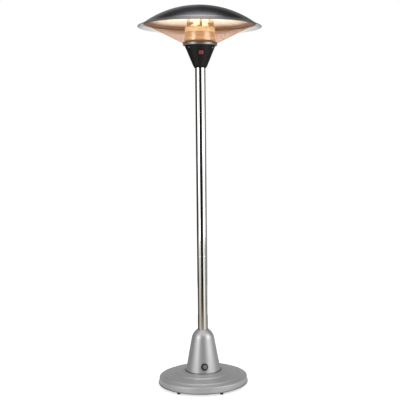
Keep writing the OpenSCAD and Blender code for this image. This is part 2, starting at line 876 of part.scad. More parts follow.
module lamp_holders() {
    color(ceramic) on_circle(holder_count, holder_circle_r, 60) difference() {
        union() {
            translate([-holder_w / 2, -holder_w / 2, cap_top_z]) cube([holder_w, holder_w, holder_h]);
            translate([0, 0, lamp_z]) lamp_ways() cylinder(r = socket_boss_r, h = socket_reach);
        }
        translate([0, 0, lamp_z]) lamp_ways() translate([0, 0, lamp_start - tap_gap])
            cylinder(r = lamp_end_r + tap_gap, h = socket_reach);
        rod(lead_r + 0.4, cap_top_z - 1, cap_top_z + 6);
    }
}

module lamp_ends() {
    color("white") on_circle(holder_count, holder_circle_r, 60) translate([0, 0, lamp_z]) lamp_ways()
        translate([0, 0, lamp_start]) cylinder(r = lamp_end_r, h = lamp_end_len);
}

// Each lamp lies between two holders, across the front or a rear side
module on_lamps() {
    for (k = [0 : holder_count - 1]) rotate(360 * k / holder_count)
        translate([0, -holder_circle_r / 2, lamp_z]) rotate([0, 90, 0]) children();
}

tube_half = lamp_span / 2 - lamp_start - lamp_end_len;

module lamp_tubes() {
    color([1, 0.85, 0.6, 0.6]) on_lamps() difference() {
        cylinder(d = lamp_d, h = 2 * tube_half, center = true);
        cylinder(d = lamp_d - 2 * lamp_wall, h = 2 * tube_half + 1, center = true);
    }
}

module lamp_filaments() {
    color([1, 0.6, 0.2]) on_lamps() cylinder(r = 1.2, h = 2 * tube_half, center = true, $fn = 24);
}

// ---- Head ----

module tie_rods() {
    color(steel) on_circle(holder_count, rod_circle_r) {
        rod(rod_r, pole_top_z, dome_plate_z + rod_nut_h + 2);
        translate([0, 0, pole_top_z - rod_head_h]) cylinder(r = 0.9 * rod_d, h = rod_head_h, $fn = 6);
    }
}

module post_tubes() {
    color(copper) on_circle(holder_count, rod_circle_r)
        ring(post_d / 2, rod_r + hole_gap, cap_top_z, dome_plate_z - dome_plate_t);
}

module rod_nuts() {
    color(steel) on_circle(holder_count, rod_circle_r) difference() {
        translate([0, 0, dome_plate_z]) cylinder(r = 0.9 * rod_d, h = rod_nut_h, $fn = 6);
        rod(rod_r + tap_gap, dome_plate_z - 1, dome_plate_z + rod_nut_h + 1);
    }
}

module dome_bracket() {
    r = dome_bracket_d / 2;
    color(steel) difference() {
        translate([0, 0, dome_plate_z - dome_plate_t]) cylinder(r = r, h = dome_bracket_drop + dome_plate_t);
        translate([0, 0, dome_plate_z]) cylinder(r = r - 2, h = dome_bracket_drop + 1);
        rod_holes(hole_gap, dome_plate_z - 10, dome_plate_z + 1);
        translate([0, 0, dome_plate_z]) difference() {
            cylinder(r = r + 1, h = dome_bracket_drop + 1);
            translate([0, 0, sphere_z - dome_plate_z]) sphere(r = sphere_r - dome_sheet - seat_gap, $fn = 200);
        }
    }
}

module dome() {
    hem = [dome_r - hem_r, rim_z + hem_r];
    lean = way([brim_r, rim_z + brim_h], hem);
    outer = [for (p = arc(sphere_r, 0, brim_turn, 28)) p + [0, sphere_z]];
    inner = [for (p = arc(sphere_r - dome_sheet, 0, brim_turn, 28)) p + [0, sphere_z]];
    color([0.24, 0.24, 0.28]) {
        rotate_extrude() polygon(concat(outer, [hem], [hem - dome_sheet * left(lean)], reversed(inner)));
        rotate_extrude() translate(hem) circle(r = hem_r, $fn = 32);
    }
}

module hoop(r, z, wire_r) {
    color(copper) rotate_extrude() translate([r, z]) circle(r = wire_r, $fn = 32);
}

module guard_bottom_hoop() {
    hoop(bottom_hoop_r, bottom_hoop_z, bottom_wire_r);
}

module guard_top_hoop() {
    hoop(guard_top_r, top_hoop_z, top_wire_r);
}

module guard_mesh() {
    low = [bottom_hoop_r, bottom_hoop_z];
    high = [guard_top_r, top_hoop_z];
    run = way(low, high);
    side = mesh_t / 2 * left(run);
    a = low + run * bottom_wire_r;
    b = high - run * top_wire_r;
    color(copper) rotate_extrude() polygon([a - side, b - side, b + side, a + side]);
}

rubber_feet();
foot_screws();
base_plate();
ballast();
base_cover();
cable_grommet();
pole_socket();
socket_bolts();
socket_washers();
socket_nuts();
socket_screws();
cone_cover();
cone_badge();
pole_lower();
pole_middle();
pole_upper();
pole_joiners();
inner_cable();
head_bracket();
bracket_screws();
neck_housing();
neck_screws();
switch_body();
rocker_left();
rocker_right();
switch_terminals();
terminal_block();
terminal_screws();
tip_over_switch();
supply_wires();
switch_wires();
lamp_wires();
collar_ring();
insulating_ring();
lamp_drum();
drum_cap();
lamp_holders();
lamp_ends();
lamp_tubes();
lamp_filaments();
tie_rods();
post_tubes();
rod_nuts();
dome_bracket();
dome();
guard_bottom_hoop();
guard_top_hoop();
guard_mesh();
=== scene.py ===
"""Free-standing halogen heater for a terrace: finishes and fine pieces round the packed frame."""

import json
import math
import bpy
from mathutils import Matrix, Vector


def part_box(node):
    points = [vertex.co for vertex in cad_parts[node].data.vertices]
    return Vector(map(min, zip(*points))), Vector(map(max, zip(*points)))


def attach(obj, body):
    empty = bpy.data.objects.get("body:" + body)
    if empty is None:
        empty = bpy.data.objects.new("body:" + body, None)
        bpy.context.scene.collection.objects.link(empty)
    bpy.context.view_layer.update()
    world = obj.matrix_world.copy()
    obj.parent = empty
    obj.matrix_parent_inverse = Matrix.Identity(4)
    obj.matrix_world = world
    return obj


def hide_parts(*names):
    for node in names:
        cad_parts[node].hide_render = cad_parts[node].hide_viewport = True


bl_info = {
    "name": "Halogen Terrace Heater",
    "version": (1, 0, 0),
    "blender": (4, 5, 0),
    "location": "3D View > Sidebar > Heater",
    "description": "Dresses a standing heater: base, pole, switch neck, lamps, guard and dome",
    "category": "Object",
}

import bmesh
import bpy
from bpy.props import FloatProperty, FloatVectorProperty, IntProperty, PointerProperty
from mathutils import Matrix, Vector

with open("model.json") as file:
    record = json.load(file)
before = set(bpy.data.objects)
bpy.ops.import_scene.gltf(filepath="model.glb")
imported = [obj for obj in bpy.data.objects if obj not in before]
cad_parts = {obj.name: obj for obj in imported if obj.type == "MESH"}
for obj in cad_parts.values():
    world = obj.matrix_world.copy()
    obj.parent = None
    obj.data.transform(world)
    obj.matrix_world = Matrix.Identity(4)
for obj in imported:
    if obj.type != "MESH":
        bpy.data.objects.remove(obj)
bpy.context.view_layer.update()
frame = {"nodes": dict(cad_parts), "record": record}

HEATER = "heater"
# Turns of the two rear lamps from the front one, in degrees
REAR_LAMPS = (120, 240)
# Vertices nearer to each other than this, in metres, are one
WELD = 1e-6
# Steps in the arcs of outlines
BEAD_STEPS = 28
SHOULDER_STEPS = 16
CROWN_STEPS = 48
HEM_STEPS = 16
WIRE_STEPS = 20

# Where the values of a noise and of a cell pattern start and end for the most part
NOISE_SPAN = (0.3, 0.7)
CELL_SPAN = (0.1, 0.8)

# Distances from an edge, in metres, at which its painted shade starts to fade and has gone
GAP_FADE = (0.0015, 0.007)
WALL_FADE = (0.003, 0.008)
FOOT_FADE = (0.0015, 0.006)
COLLAR_FADE = (-0.001, 0.001)

# Roundings in metres: the base cover's corners from the wall's top to the flat middle, the outer edges
# of collar, drum and cap, and the drum's corners above its foot band
COVER_ROUNDINGS = (0.005, 0.001, 0.0007, 0.0016, 0.001, 0.008)
EDGE_ROUNDING = 0.002
BAND_ROUNDINGS = (0.0015, 0.001)
# Height in which the drum narrows above its foot band
BAND_SLOPE = 0.002

# Shares of the badge's radius at which its dark ring starts, is full, starts to end and has ended
BADGE_RING = (0.58, 0.62, 0.88, 0.92)

# Radii of the dome, in metres, at which the finish of its outside turns into the brim's, whose lighter
# colour is a painted highlight
BRIM_SPAN = (0.291, 0.312)
# The reflector from its middle to the rim: radius and brightness, darker in the bend as painted shade;
# then radius and painted glow of the lamps' light
REFLECTOR_TONES_AND_SHADE = ((0.268, 1.0), (0.28, 0.35), (0.302, 0.3), (0.309, 1.0))
REFLECTOR_PAINTED_GLOW = (
    (0.16, (3.0, 2.2, 1.35)), (0.205, (2.3, 2.1, 1.7)), (0.236, (1.35, 1.22, 1.0)),
    (0.262, (0.72, 0.66, 0.53)), (0.271, (0.34, 0.30, 0.25)), (0.281, (0.03, 0.025, 0.02)),
    (0.303, (0.0, 0.0, 0.0)), (0.31, (0.2, 0.195, 0.19)))
# Height over the lamps' tubes, in metres, from which a piece's painted glow of their light is full
GLARE_RISE = 0.009

# The stage, lengths in metres
WHITE = (1, 1, 1, 1)
FLOOR_HALF = 30
FLOOR_GREY = 0.86
# Glow of the floor in what the metal mirrors and as the camera sees it
FLOOR_GLOW = (0.15, 0.55)
# Upright cards stand at the distance; flat cards start under the base's rim, just above the floor
CARD_DISTANCE = 3.0
CARD_START = 0.245
CARD_LIFT = 0.002
# A card's colours are set on a scale of this reach, and its curve has steps of some degrees
CARD_SCALE = 8.0
CARD_STEP = 6
# The side softboxes stand upright and look at the heater's middle
SOFTBOX_DISTANCE = 2.6
SOFTBOX_HEIGHT = 1.5
SOFTBOX_LENGTH = 2.1
AIM = (0, 0, 1.05)
# The softbox overhead: its turn round the heater in degrees, its distance and its height
TOP_TURN, TOP_DISTANCE, TOP_HEIGHT = 190, 0.40, 4.25
# The camera's sensor, in millimetres
SENSOR_WIDTH = 36


# ---- Sizes taken from the frame ----


def low(node):
    """The lowest corner of a node's box."""
    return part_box(node)[0]


def high(node):
    """The highest corner of a node's box."""
    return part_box(node)[1]


def hoop_of(node):
    """Radius and height of a wire hoop's middle line, and the radius of its wire."""
    lowest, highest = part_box(node)
    wire = (highest.z - lowest.z) / 2
    return highest.x - wire, lowest.z + wire, wire


# ---- Settings ----


def length(name, description, default, least=0.0001, most=3.0):
    return FloatProperty(name=name, description=description, default=default, min=least, max=most,
                         precision=4, unit="LENGTH")


def colour(name, description, default):
    return FloatVectorProperty(name=name, description=description, default=default, size=3,
                               min=0, max=1, subtype="COLOR")


def degrees(name, description, default):
    return FloatProperty(name=name, description=description, default=math.radians(default),
                         subtype="ANGLE")


def watts(name, description, default):
    return FloatProperty(name=name, description=description, default=default, unit="POWER")


class BaseSizes(bpy.types.PropertyGroup):
    """Sizes of the round base and of the cone that covers the pole's foot."""

    wall_lean: length("Wall lean", "How far the outer wall leans in up to its top", 0.0055)
    wall_top: length("Wall top", "Height of the top of the outer wall", 0.046)
    flat_radius: length("Flat radius", "Radius of the flat middle", 0.107)
    outer_ring: length("Outer ring", "Width of the outer sloping ring", 0.0245)
    middle_ring: length("Middle ring", "Width of the middle sloping ring", 0.056)
    step_height: length("Step height", "Fall of each step between two rings", 0.0055)
    step_width: length("Step width", "Width of each step between two rings", 0.008)
    bead: length("Rim bead", "Radius of the rolled rim", 0.0035)
    sheet: length("Sheet", "Thickness of the pressed sheet", 0.0015)
    hub_hole: length("Hub hole", "Radius of the hole under the pole's socket", 0.040)
    shoulder_radius: length("Shoulder radius", "Radius of the cone where its shoulder starts", 0.0585)
    shoulder_height: length("Shoulder height", "Height of the cone's shoulder", 0.020)
    shoulder_round: length("Shoulder rounding", "Radius between the cone's side and shoulder", 0.072)
    lip: length("Foot lip", "Width of the flared lip at the cone's foot", 0.0025)
    lip_height: length("Lip height", "Height of the flared lip", 0.0035)
    lip_round: length("Lip rounding", "Radius between the lip and the cone's side", 0.003)
    pole_gap: length("Gap round pole", "Space between the pole and the cone", 0.003)


class HeadSizes(bpy.types.PropertyGroup):
    """Sizes of the dome, the lamp unit and the guard."""

    brim_width: length("Brim width", "Width of the brim round the dome", 0.0305)
    brim_height: length("Brim height", "Height of the brim", 0.017)
    dome_sheet: length("Dome sheet", "Thickness of the dome", 0.0012)
    hem: length("Hem", "Radius of the dome's rolled edge", 0.002)
    drum_sheet: length("Drum sheet", "Thickness of collar, drum and cap", 0.0012)
    foot_band: length("Foot band", "Height of the wider band at the drum's foot", 0.012)
    hole_pitch: length("Hole pitch", "Distance between two holes of the drum's cap", 0.0056)
    hole_width: length("Hole width", "Width of a hole in the drum's cap", 0.0042)
    wire_hole: length("Wire hole", "Radius of the hole in the middle of drum and collar", 0.020)
    cell_length: length("Cell length", "Long diagonal of a diamond of the guard", 0.0115)
    cell_height: length("Cell height", "Short diagonal of a diamond of the guard", 0.0066)
    strand: length("Strand", "Width of the guard's strands", 0.0022)
    guard_sheet: length("Guard sheet", "Thickness of the guard's sheet", 0.0003)
    coil_radius: length("Coil radius", "Radius of a filament's coil", 0.0018)
    coil_pitch: length("Coil pitch", "Distance between two turns of a filament", 0.0016)
    coil_wire: length("Coil wire", "Radius of the filament's wire", 0.0003)
    round_steps: IntProperty(name="Round steps", description="Steps in one turn of a round piece",
                             default=192, min=48, max=256)


class HeaterColours(bpy.types.PropertyGroup):
    """Colours of the finishes."""

    paint: colour("Silver paint", "Metallic paint of base and cone", (0.52, 0.52, 0.525))
    pole: colour("Pole", "Polished tube", (0.86, 0.85, 0.83))
    dome: colour("Dome", "Dark polished outside of the dome", (0.050, 0.046, 0.055))
    # The brim's lighter tone is a painted highlight on the dome's sheet
    brim: colour("Brim", "Outside of the dome's brim", (0.24, 0.218, 0.222))
    reflector: colour("Reflector", "Bright inside of the dome", (0.86, 0.84, 0.81))
    copper: colour("Copper", "Copper-toned guard", (0.55, 0.27, 0.125))
    black: colour("Black", "Black moulded plastic", (0.008, 0.008, 0.008))
    red: colour("Red", "Lit rockers", (0.14, 0.025, 0.03))
    glow: colour("Glow", "Light of the lamps", (1.0, 0.86, 0.58))
    lamp_strength: FloatProperty(name="Lamp strength", description="Strength of the lamps' glow",
                                 default=0.85, min=0.0, max=200.0)


class StageSettings(bpy.types.PropertyGroup):
    """Camera place and the studio's lights."""

    camera_distance: length("Camera distance", "Distance of the camera from the pole", 4.5409, most=20)
    camera_height: length("Camera height", "Height of the camera", 1.4034, most=20)
    camera_turn: degrees("Camera turn", "Place of the camera round the heater", -5)
    camera_pan: degrees("Camera pan", "Turn of the camera to the right of the pole", 3.38)
    camera_tilt: degrees("Camera tilt", "Tilt of the camera below level", 4.687)
    camera_roll: degrees("Camera roll", "Roll of the camera", -0.301)
    lens: FloatProperty(name="Lens", description="Focal length in millimetres", default=74.03)
    shift: FloatProperty(name="Shift", description="Sideways shift of the lens", default=-0.125)
    fill: FloatProperty(name="Fill", description="Strength of the light from all round", default=0.55)
    left_power: watts("Left power", "Power of the left softbox", 20.0)
    right_power: watts("Right power", "Power of the right softbox", 25.0)
    top_power: watts("Top power", "Power of the softbox overhead", 21.0)


# ---- Outlines in the plane of radius and height ----


def arc(middle, radius, start, end, count):
    """Points on an arc, its angles in degrees measured from outwards to up."""
    turns = [math.radians(start + (end - start) * k / count) for k in range(count + 1)]
    return [Vector((middle[0] + radius * math.cos(t), middle[1] + radius * math.sin(t))) for t in turns]


def rounded(path, radii, count=8):
    """A path whose inner corners are rounded, one radius for each."""
    points = [Vector(p) for p in path]
    made = [points[0]]
    for before, here, after, radius in zip(points, points[1:], points[2:], radii):
        came, goes = (here - before).normalized(), (after - here).normalized()
        turn = came.angle_signed(goes)
        if radius <= 0 or abs(turn) < 1e-6:
            made.append(here)
            continue
        start = here - came * radius * math.tan(abs(turn) / 2)
        side = -1 if turn > 0 else 1
        middle = start + side * radius * Vector((-came.y, came.x))
        arm = start - middle
        made += [middle + Matrix.Rotation(side * abs(turn) * k / count, 2) @ arm for k in range(count + 1)]
    return made + [points[-1]]


def beside(path, distance):
    """The path moved to its left by a distance, with mitred corners."""
    ways = [(b - a).normalized() for a, b in zip(path, path[1:])]
    made = []
    for here, came, goes in zip(path, [ways[0], *ways], [*ways, ways[-1]]):
        mitre = Vector((-came.y - goes.y, came.x + goes.x))
        made.append(here + 2 * distance * mitre / mitre.length_squared)
    return made


def sheet_outline(path, thickness):
    """The closed outline of a sheet: the path is one face and the metal lies to its left."""
    return [*path, *reversed(beside(path, thickness))]


# ---- Meshes ----


def object_from(mesh, name, *materials):
    """An object in the scene from a bmesh, which is used up."""
    data = bpy.data.meshes.new(name)
    mesh.to_mesh(data)
    mesh.free()
    made = bpy.data.objects.new(name, data)
    bpy.context.scene.collection.objects.link(made)
    for material in materials:
        data.materials.append(material)
    return made


def finish_piece(mesh, name, slot, node, *makers, smooth=40):
    """Makes the piece from a bmesh, lets it ride on the heater and stand for its CAD node. It gets
    the finish of its slot, unless other makers of finishes are named."""
    for face in mesh.faces:
        face.smooth = True
    for edge in mesh.edges:
        edge.smooth = len(edge.link_faces) == 2 and edge.calc_face_angle(0) < math.radians(smooth)
    piece = object_from(mesh, name, *(made_once(maker) for maker in makers or [FINISHES[slot]]))
    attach(piece, HEATER)
    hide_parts(node)


def spin_outline(mesh, outline, steps, closed=True, material=0):
    """Turns an outline round the Z axis."""
    verts = [mesh.verts.new((p[0], 0, p[1])) for p in outline]
    pairs = list(zip(verts, verts[1:]))
    if closed:
        pairs.append((verts[-1], verts[0]))
    edges = [mesh.edges.new(pair) for pair in pairs]
    known = set(mesh.faces)
    bmesh.ops.spin(mesh, geom=verts + edges, cent=(0, 0, 0), axis=(0, 0, 1), angle=math.tau,
                   steps=steps, use_merge=True, use_normal_flip=False, use_duplicate=False)
    bmesh.ops.remove_doubles(mesh, verts=mesh.verts, dist=WELD)
    faces = [f for f in mesh.faces if f not in known]
    for face in faces:
        face.material_index = material
    bmesh.ops.recalc_face_normals(mesh, faces=faces)


def turned(name, outline, slot, node, *makers, smooth=40):
    """A round piece from its outline."""
    mesh = bmesh.new()
    spin_outline(mesh, outline, bpy.context.scene.heater_head.round_steps)
    finish_piece(mesh, name, slot, node, *makers, smooth=smooth)


# ---- Finishes ----


class Wiring:
    """Shader nodes under construction, in one node tree."""

    def __init__(self, tree):
        self.nodes, self.links = tree.nodes, tree.links

    def add(self, kind, *sources, **values):
        """A node with values on its settings and sockets, fed by sources at its first sockets."""
        node = self.nodes.new("ShaderNode" + kind)
        for key, value in values.items():
            if hasattr(node, key):
                setattr(node, key, value)
            else:
                node.inputs[key.replace("_", " ").title()].default_value = value
        for source, socket in zip(sources, node.inputs):
            self.links.new(source, socket)
        return node

    def larger(self, first, second):
        """The larger of two values."""
        return self.add("Math", first, second, operation="MAXIMUM").outputs[0]

    def seen_rays(self):
        """1 for rays that show the background: from the camera, in gloss and through glass."""
        rays = self.add("LightPath").outputs
        mirrored = self.larger(rays["Is Glossy Ray"], rays["Is Transmission Ray"])
        return self.larger(rays["Is Camera Ray"], mirrored)

    def surface(self, node, output):
        """Makes a node's result the look of the surface, at the tree's output."""
        self.links.new(node.outputs[0], self.nodes[output].inputs["Surface"])


class Finish(Wiring):
    """A material under construction: its Principled shader and the nodes that feed it."""

    SOCKETS = {"color": "Base Color", "specular_ior_level": "Specular IOR Level"}

    def __init__(self, name, **sockets):
        self.material = bpy.data.materials.new("finish_" + name)
        self.material.use_nodes = True
        super().__init__(self.material.node_tree)
        self.shader = self.nodes["Principled BSDF"]
        for key, value in sockets.items():
            label = self.SOCKETS.get(key, key.replace("_", " ").title())
            self.shader.inputs[label].default_value = (*value, 1.0) if isinstance(value, tuple) else value

    def place(self, stretch=(1, 1, 1), shift=(0, 0, 0)):
        """Object coordinates, stretched and shifted along the axes."""
        spot = self.add("TexCoord").outputs["Object"]
        return self.add("Mapping", spot, Location=shift, Scale=stretch).outputs[0]

    def noise(self, scale, detail=2.0, stretch=(1, 1, 1)):
        """Soft patches, as many to a metre as the scale."""
        return self.add("TexNoise", self.place(stretch), Scale=scale, Detail=detail).outputs[0]

    def cells(self, scale):
        """Small cells with an edge each."""
        return self.add("TexVoronoi", self.place(), Scale=scale).outputs["Distance"]

    def radius(self, stretch=(1, 1, 0), shift=(0, 0, 0)):
        """Distance from the Z axis, or from another axis if shifted and stretched otherwise."""
        return self.add("VectorMath", self.place(stretch, shift), operation="LENGTH").outputs["Value"]

    def height(self):
        """Height above the floor."""
        return self.add("SeparateXYZ", self.add("TexCoord").outputs["Object"]).outputs["Z"]

    def times(self, first, second):
        """One colour multiplied by another."""
        return self.add("VectorMath", first, second, operation="MULTIPLY").outputs[0]

    def turning_marks(self, scale):
        """Fine rings round the Z axis, as a lathe leaves them."""
        node = self.add("TexNoise", noise_dimensions="1D", Scale=scale, Detail=2.0)
        self.links.new(self.radius(), node.inputs["W"])
        return node.outputs[0]

    def ramp(self, factor, *stops):
        """A colour for each place on a scale of 0 to 1."""
        node = self.add("ValToRGB", factor)
        marks = node.color_ramp.elements
        while len(marks) < len(stops):
            marks.new(1.0)
        for mark, (place, tint) in zip(marks, stops):
            mark.position = place
            mark.color = (*tint, 1.0)
        return node.outputs[0]

    def between(self, factor, first, second, span=NOISE_SPAN):
        """Colours from the first to the second."""
        return self.ramp(factor, (span[0], first), (span[1], second))

    def shades(self, factor, colour, spread, span=NOISE_SPAN):
        """Shades of a colour, darker and lighter by a share."""
        light = tuple(min(1, part) for part in scaled(colour, 1 + spread))
        return self.between(factor, scaled(colour, 1 - spread), light, span)

    def range(self, factor, lowest, highest, span=NOISE_SPAN):
        """Values from the lowest to the highest."""
        node = self.add("MapRange", factor, From_Min=span[0], From_Max=span[1],
                        To_Min=lowest, To_Max=highest)
        return node.outputs[0]

    def fade(self, measure, edge, reach):
        """1 at an edge and 0 beyond it, with a soft change over its reach."""
        return self.range(measure, 1, 0, (edge + reach[0], edge + reach[1]))

    def feed(self, label, source):
        """Links a value to a socket of the shader."""
        self.links.new(source, self.shader.inputs[label])
        return self

    def tint(self, factor, colour, spread, span=NOISE_SPAN):
        """Varies the base colour round its value."""
        return self.feed("Base Color", self.shades(factor, colour, spread, span))

    def rough(self, factor, lowest, highest):
        """Varies the roughness."""
        return self.feed("Roughness", self.range(factor, lowest, highest))

    def shine(self, factor, first, second):
        """Gives a glow in colours from the first to the second."""
        return self.feed("Emission Color", self.between(factor, first, second))

    def blend(self, factor, first, second, kind="FLOAT"):
        """Mixes two values, or two colours where kind is RGBA."""
        node = self.add("Mix", factor, data_type=kind)
        sockets = [socket for socket in node.inputs if socket.enabled]
        self.links.new(first, sockets[1])
        self.links.new(second, sockets[2])
        return next(socket for socket in node.outputs if socket.enabled)

    def bump(self, factor, height):
        """Lets the surface stand out by a height."""
        node = self.add("Bump", Strength=1.0, Distance=height)
        self.links.new(factor, node.inputs["Height"])
        return self.feed("Normal", node.outputs[0])


def scaled(colour, share):
    return tuple(part * share for part in colour)


def grey(level):
    return (level, level, level)


def colours():
    return bpy.context.scene.heater_colours


def grained(name, colour, spread, dull, height, grain=(300, 4), patches=(60, 3), marks=(900,), **sockets):
    """A finish of one colour. A grain varies the colour by a spread, patches vary the roughness between
    the two values of dull, and marks stand out by a height. Grain, patches and marks are noises, given
    by their scale, detail and stretch."""
    finish = Finish(name, **sockets)
    finish.tint(finish.noise(*grain), colour, spread)
    finish.rough(finish.noise(*patches), *dull)
    return finish.bump(finish.noise(*marks), height)


def painted(name, shade=None, smooth=0.36, dull=0.41):
    """Silver paint. Where shade gives 1, the paint carries painted shade, as dark as in a narrow gap."""
    finish = Finish(name, metallic=0.6, roughness=smooth, specular_ior_level=0.3)
    flakes, silver = finish.noise(1400), colours().paint
    paint = finish.shades(flakes, silver, 0.10)
    if shade:
        # Painted shade: the paint darkened to the tone of the shadow in a narrow gap
        gap = finish.between(flakes, scaled(silver, 0.24), scaled(silver, 0.30))
        paint = finish.blend(shade(finish), paint, gap, "RGBA")
    finish.feed("Base Color", paint)
    finish.rough(finish.noise(14, 4), smooth, dull)
    return finish.bump(finish.noise(2200), 0.000003)


def silver_paint():
    return painted("silver_paint")


def base_paint():
    """Painted shade: darker in the gap under the cone's foot and along the lower edge of the wall."""
    return painted("base_paint", lambda finish: finish.larger(
        finish.fade(finish.radius(), high("cone_cover").x, GAP_FADE),
        finish.fade(finish.height(), low("base_cover").z, WALL_FADE)), 0.4, 0.46)


def cone_paint():
    """Painted shade: darker along the cone's foot, where its contact shadow falls."""
    return painted("cone_paint", lambda finish: finish.fade(
        finish.height(), low("cone_cover").z, FOOT_FADE))


def polished_pole():
    return grained("polished_pole", colours().pole, 0.03, dull=(0.05, 0.12), height=0.00001,
                   grain=(40, 3, (1, 1, 0.03)), patches=(260, 3, (1, 1, 0.02)),
                   marks=(24, 2, (1, 1, 0.15)), metallic=1.0, roughness=0.08)


def dome_outside():
    """Dark polished sheet with lathe marks, duller on the brim and lighter there as a painted highlight.
    """
    finish = Finish("dome_outside", metallic=1.0, roughness=0.2)
    marks = finish.turning_marks(260)
    # Painted highlight: the brim takes a lighter colour than the dome
    brim = finish.range(finish.radius(), 0, 1, BRIM_SPAN)
    dark, light = (finish.shades(marks, colour, 0.1) for colour in (colours().dome, colours().brim))
    finish.feed("Base Color", finish.blend(brim, dark, light, "RGBA"))
    polished, dull = finish.range(marks, 0.18, 0.24), finish.range(marks, 0.27, 0.32)
    finish.feed("Roughness", finish.blend(brim, polished, dull))
    return finish.bump(finish.turning_marks(1200), 0.00001)


def dome_inside():
    """Bright inside of the dome, darker in the bend before the brim as painted shade, lit by the lamps and
    given a painted glow of their light.
    """
    finish = Finish("dome_inside", metallic=1.0, roughness=0.18, emission_strength=1.0)
    radius, bright = finish.radius(), colours().reflector
    # Painted shade in the bend before the brim
    tones = finish.ramp(radius, *((place, scaled(bright, share)) for place, share in REFLECTOR_TONES_AND_SHADE))
    marks = finish.between(finish.turning_marks(500), grey(0.92), grey(1.0))
    finish.feed("Base Color", finish.times(tones, marks))
    finish.rough(finish.noise(30, 3), 0.15, 0.22)
    # Painted glow of the lamps' light, by radius
    finish.feed("Emission Color", finish.ramp(radius, *REFLECTOR_PAINTED_GLOW))
    return finish.bump(finish.turning_marks(900), 0.00002)


def copper_guard():
    return grained("copper_guard", colours().copper, 0.12, dull=(0.42, 0.54), height=0.00005,
                   metallic=0.6, roughness=0.48, specular_ior_level=0.3)


def copper_wire():
    """The hoops' thicker wire, duller and darker than the mesh."""
    return grained("copper_wire", scaled(colours().copper, 0.36), 0.14, dull=(0.4, 0.52), height=0.00004,
                   metallic=1.0, roughness=0.45)


def lit_from_above(finish, below, above):
    """Painted glow of the lamps' light, rising from one colour below the lamps to another above them."""
    lowest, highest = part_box("lamp_tubes")
    span = ((lowest.z + highest.z) / 2, highest.z + GLARE_RISE)
    share = finish.range(finish.height(), 0, 1, span)
    return finish.feed("Emission Color", finish.ramp(share, (0.0, below), (1.0, above)))


def warm_posts():
    finish = grained("warm_posts", (0.34, 0.17, 0.09), 0.12, dull=(0.34, 0.46), height=0.00003,
                     grain=(300, 4, (1, 1, 0.1)), metallic=1.0, roughness=0.4, emission_strength=1.0)
    # Painted glow of the lamps' light on the posts
    return lit_from_above(finish, (0.02, 0.01, 0.005), (1.1, 0.85, 0.5))


def polished_drum():
    finish = grained("polished_drum", (0.50, 0.45, 0.38), 0.05, dull=(0.1, 0.2), height=0.00001,
                     grain=(80, 3, (1, 1, 8)), patches=(45, 3, (1, 1, 10)), marks=(700, 2, (1, 1, 6)),
                     metallic=1.0, roughness=0.14, emission_strength=0.6)
    # Painted glow of the lamps' light on the drum
    return finish.shine(finish.noise(30), (0.9, 0.48, 0.20), (1.0, 0.58, 0.28))


def liner_painted_glow():
    # Painted glow of the lamps' light, seen through the cap's holes
    finish = Finish("liner_painted_glow", roughness=0.8, emission_strength=1.0)
    finish.tint(finish.noise(60, 3), (0.5, 0.38, 0.26), 0.1)
    return finish.shine(finish.noise(45, 3), (1.5, 1.1, 0.58), (1.9, 1.5, 0.9))


def brushed_collar():
    """Brushed steel, with painted shade where its rounded lower edge meets the housing."""
    finish = Finish("brushed_collar", metallic=0.6, roughness=0.3, specular_ior_level=0.3)
    brushed = finish.between(finish.noise(900, 3, (1, 1, 6)), (0.25, 0.24, 0.23), (0.29, 0.28, 0.27))
    dark = finish.between(finish.noise(900), grey(0.03), grey(0.04))
    # Painted shade along the collar's lower edge
    edge = finish.fade(finish.height(), low("collar_ring").z, COLLAR_FADE)
    finish.feed("Base Color", finish.blend(edge, brushed, dark, "RGBA"))
    finish.rough(finish.noise(200, 3, (0.1, 0.1, 4)), 0.25, 0.36)
    return finish.bump(finish.noise(1200, 2, (0.1, 0.1, 3)), 0.00002)


def black_plastic():
    return grained("black_plastic", colours().black, 0.2, dull=(0.45, 0.56), height=0.00006, grain=(500,),
                   patches=(25, 3), marks=(1500, 3), roughness=0.5, specular_ior_level=0.25)


def black_gloss():
    return grained("black_gloss", grey(0.010), 0.2, dull=(0.16, 0.26), height=0.00002, grain=(400,),
                   patches=(80, 3), marks=(600,), roughness=0.2, coat_weight=0.3)


def lit_red():
    finish = Finish("lit_red", roughness=0.25, coat_weight=0.3, coat_roughness=0.1,
                    emission_strength=0.16)
    finish.tint(finish.noise(300), colours().red, 0.1)
    finish.rough(finish.noise(200), 0.2, 0.3)
    return finish.shine(finish.noise(120), (0.80, 0.15, 0.20), (1.0, 0.24, 0.28))


def rubber():
    return grained("rubber", grey(0.018), 0.25, dull=(0.68, 0.82), height=0.00008, patches=(60,),
                   marks=(1200, 3), roughness=0.75)


def zinc():
    finish = Finish("zinc", metallic=0.9, roughness=0.4)
    finish.tint(finish.cells(220), (0.62, 0.63, 0.64), 0.12, CELL_SPAN)
    finish.rough(finish.noise(80, 3), 0.32, 0.48)
    return finish.bump(finish.noise(700), 0.00003)


def concrete():
    return grained("concrete", (0.42, 0.41, 0.39), 0.2, dull=(0.85, 0.95), height=0.0008, grain=(60, 8),
                   patches=(30, 4), marks=(140, 8), roughness=0.9)


def brass():
    return grained("brass", (0.78, 0.58, 0.28), 0.1, dull=(0.25, 0.38), height=0.00002, grain=(300, 3),
                   patches=(90, 3), metallic=1.0, roughness=0.3)


def ceramic():
    finish = grained("ceramic", (0.27, 0.185, 0.10), 0.1, dull=(0.48, 0.62), height=0.00006,
                     grain=(200, 4), marks=(900, 4), roughness=0.55, emission_strength=1.0)
    # Painted glow of the lamps' light on the holders
    return lit_from_above(finish, (0.10, 0.05, 0.02), (1.2, 1.0, 0.65))


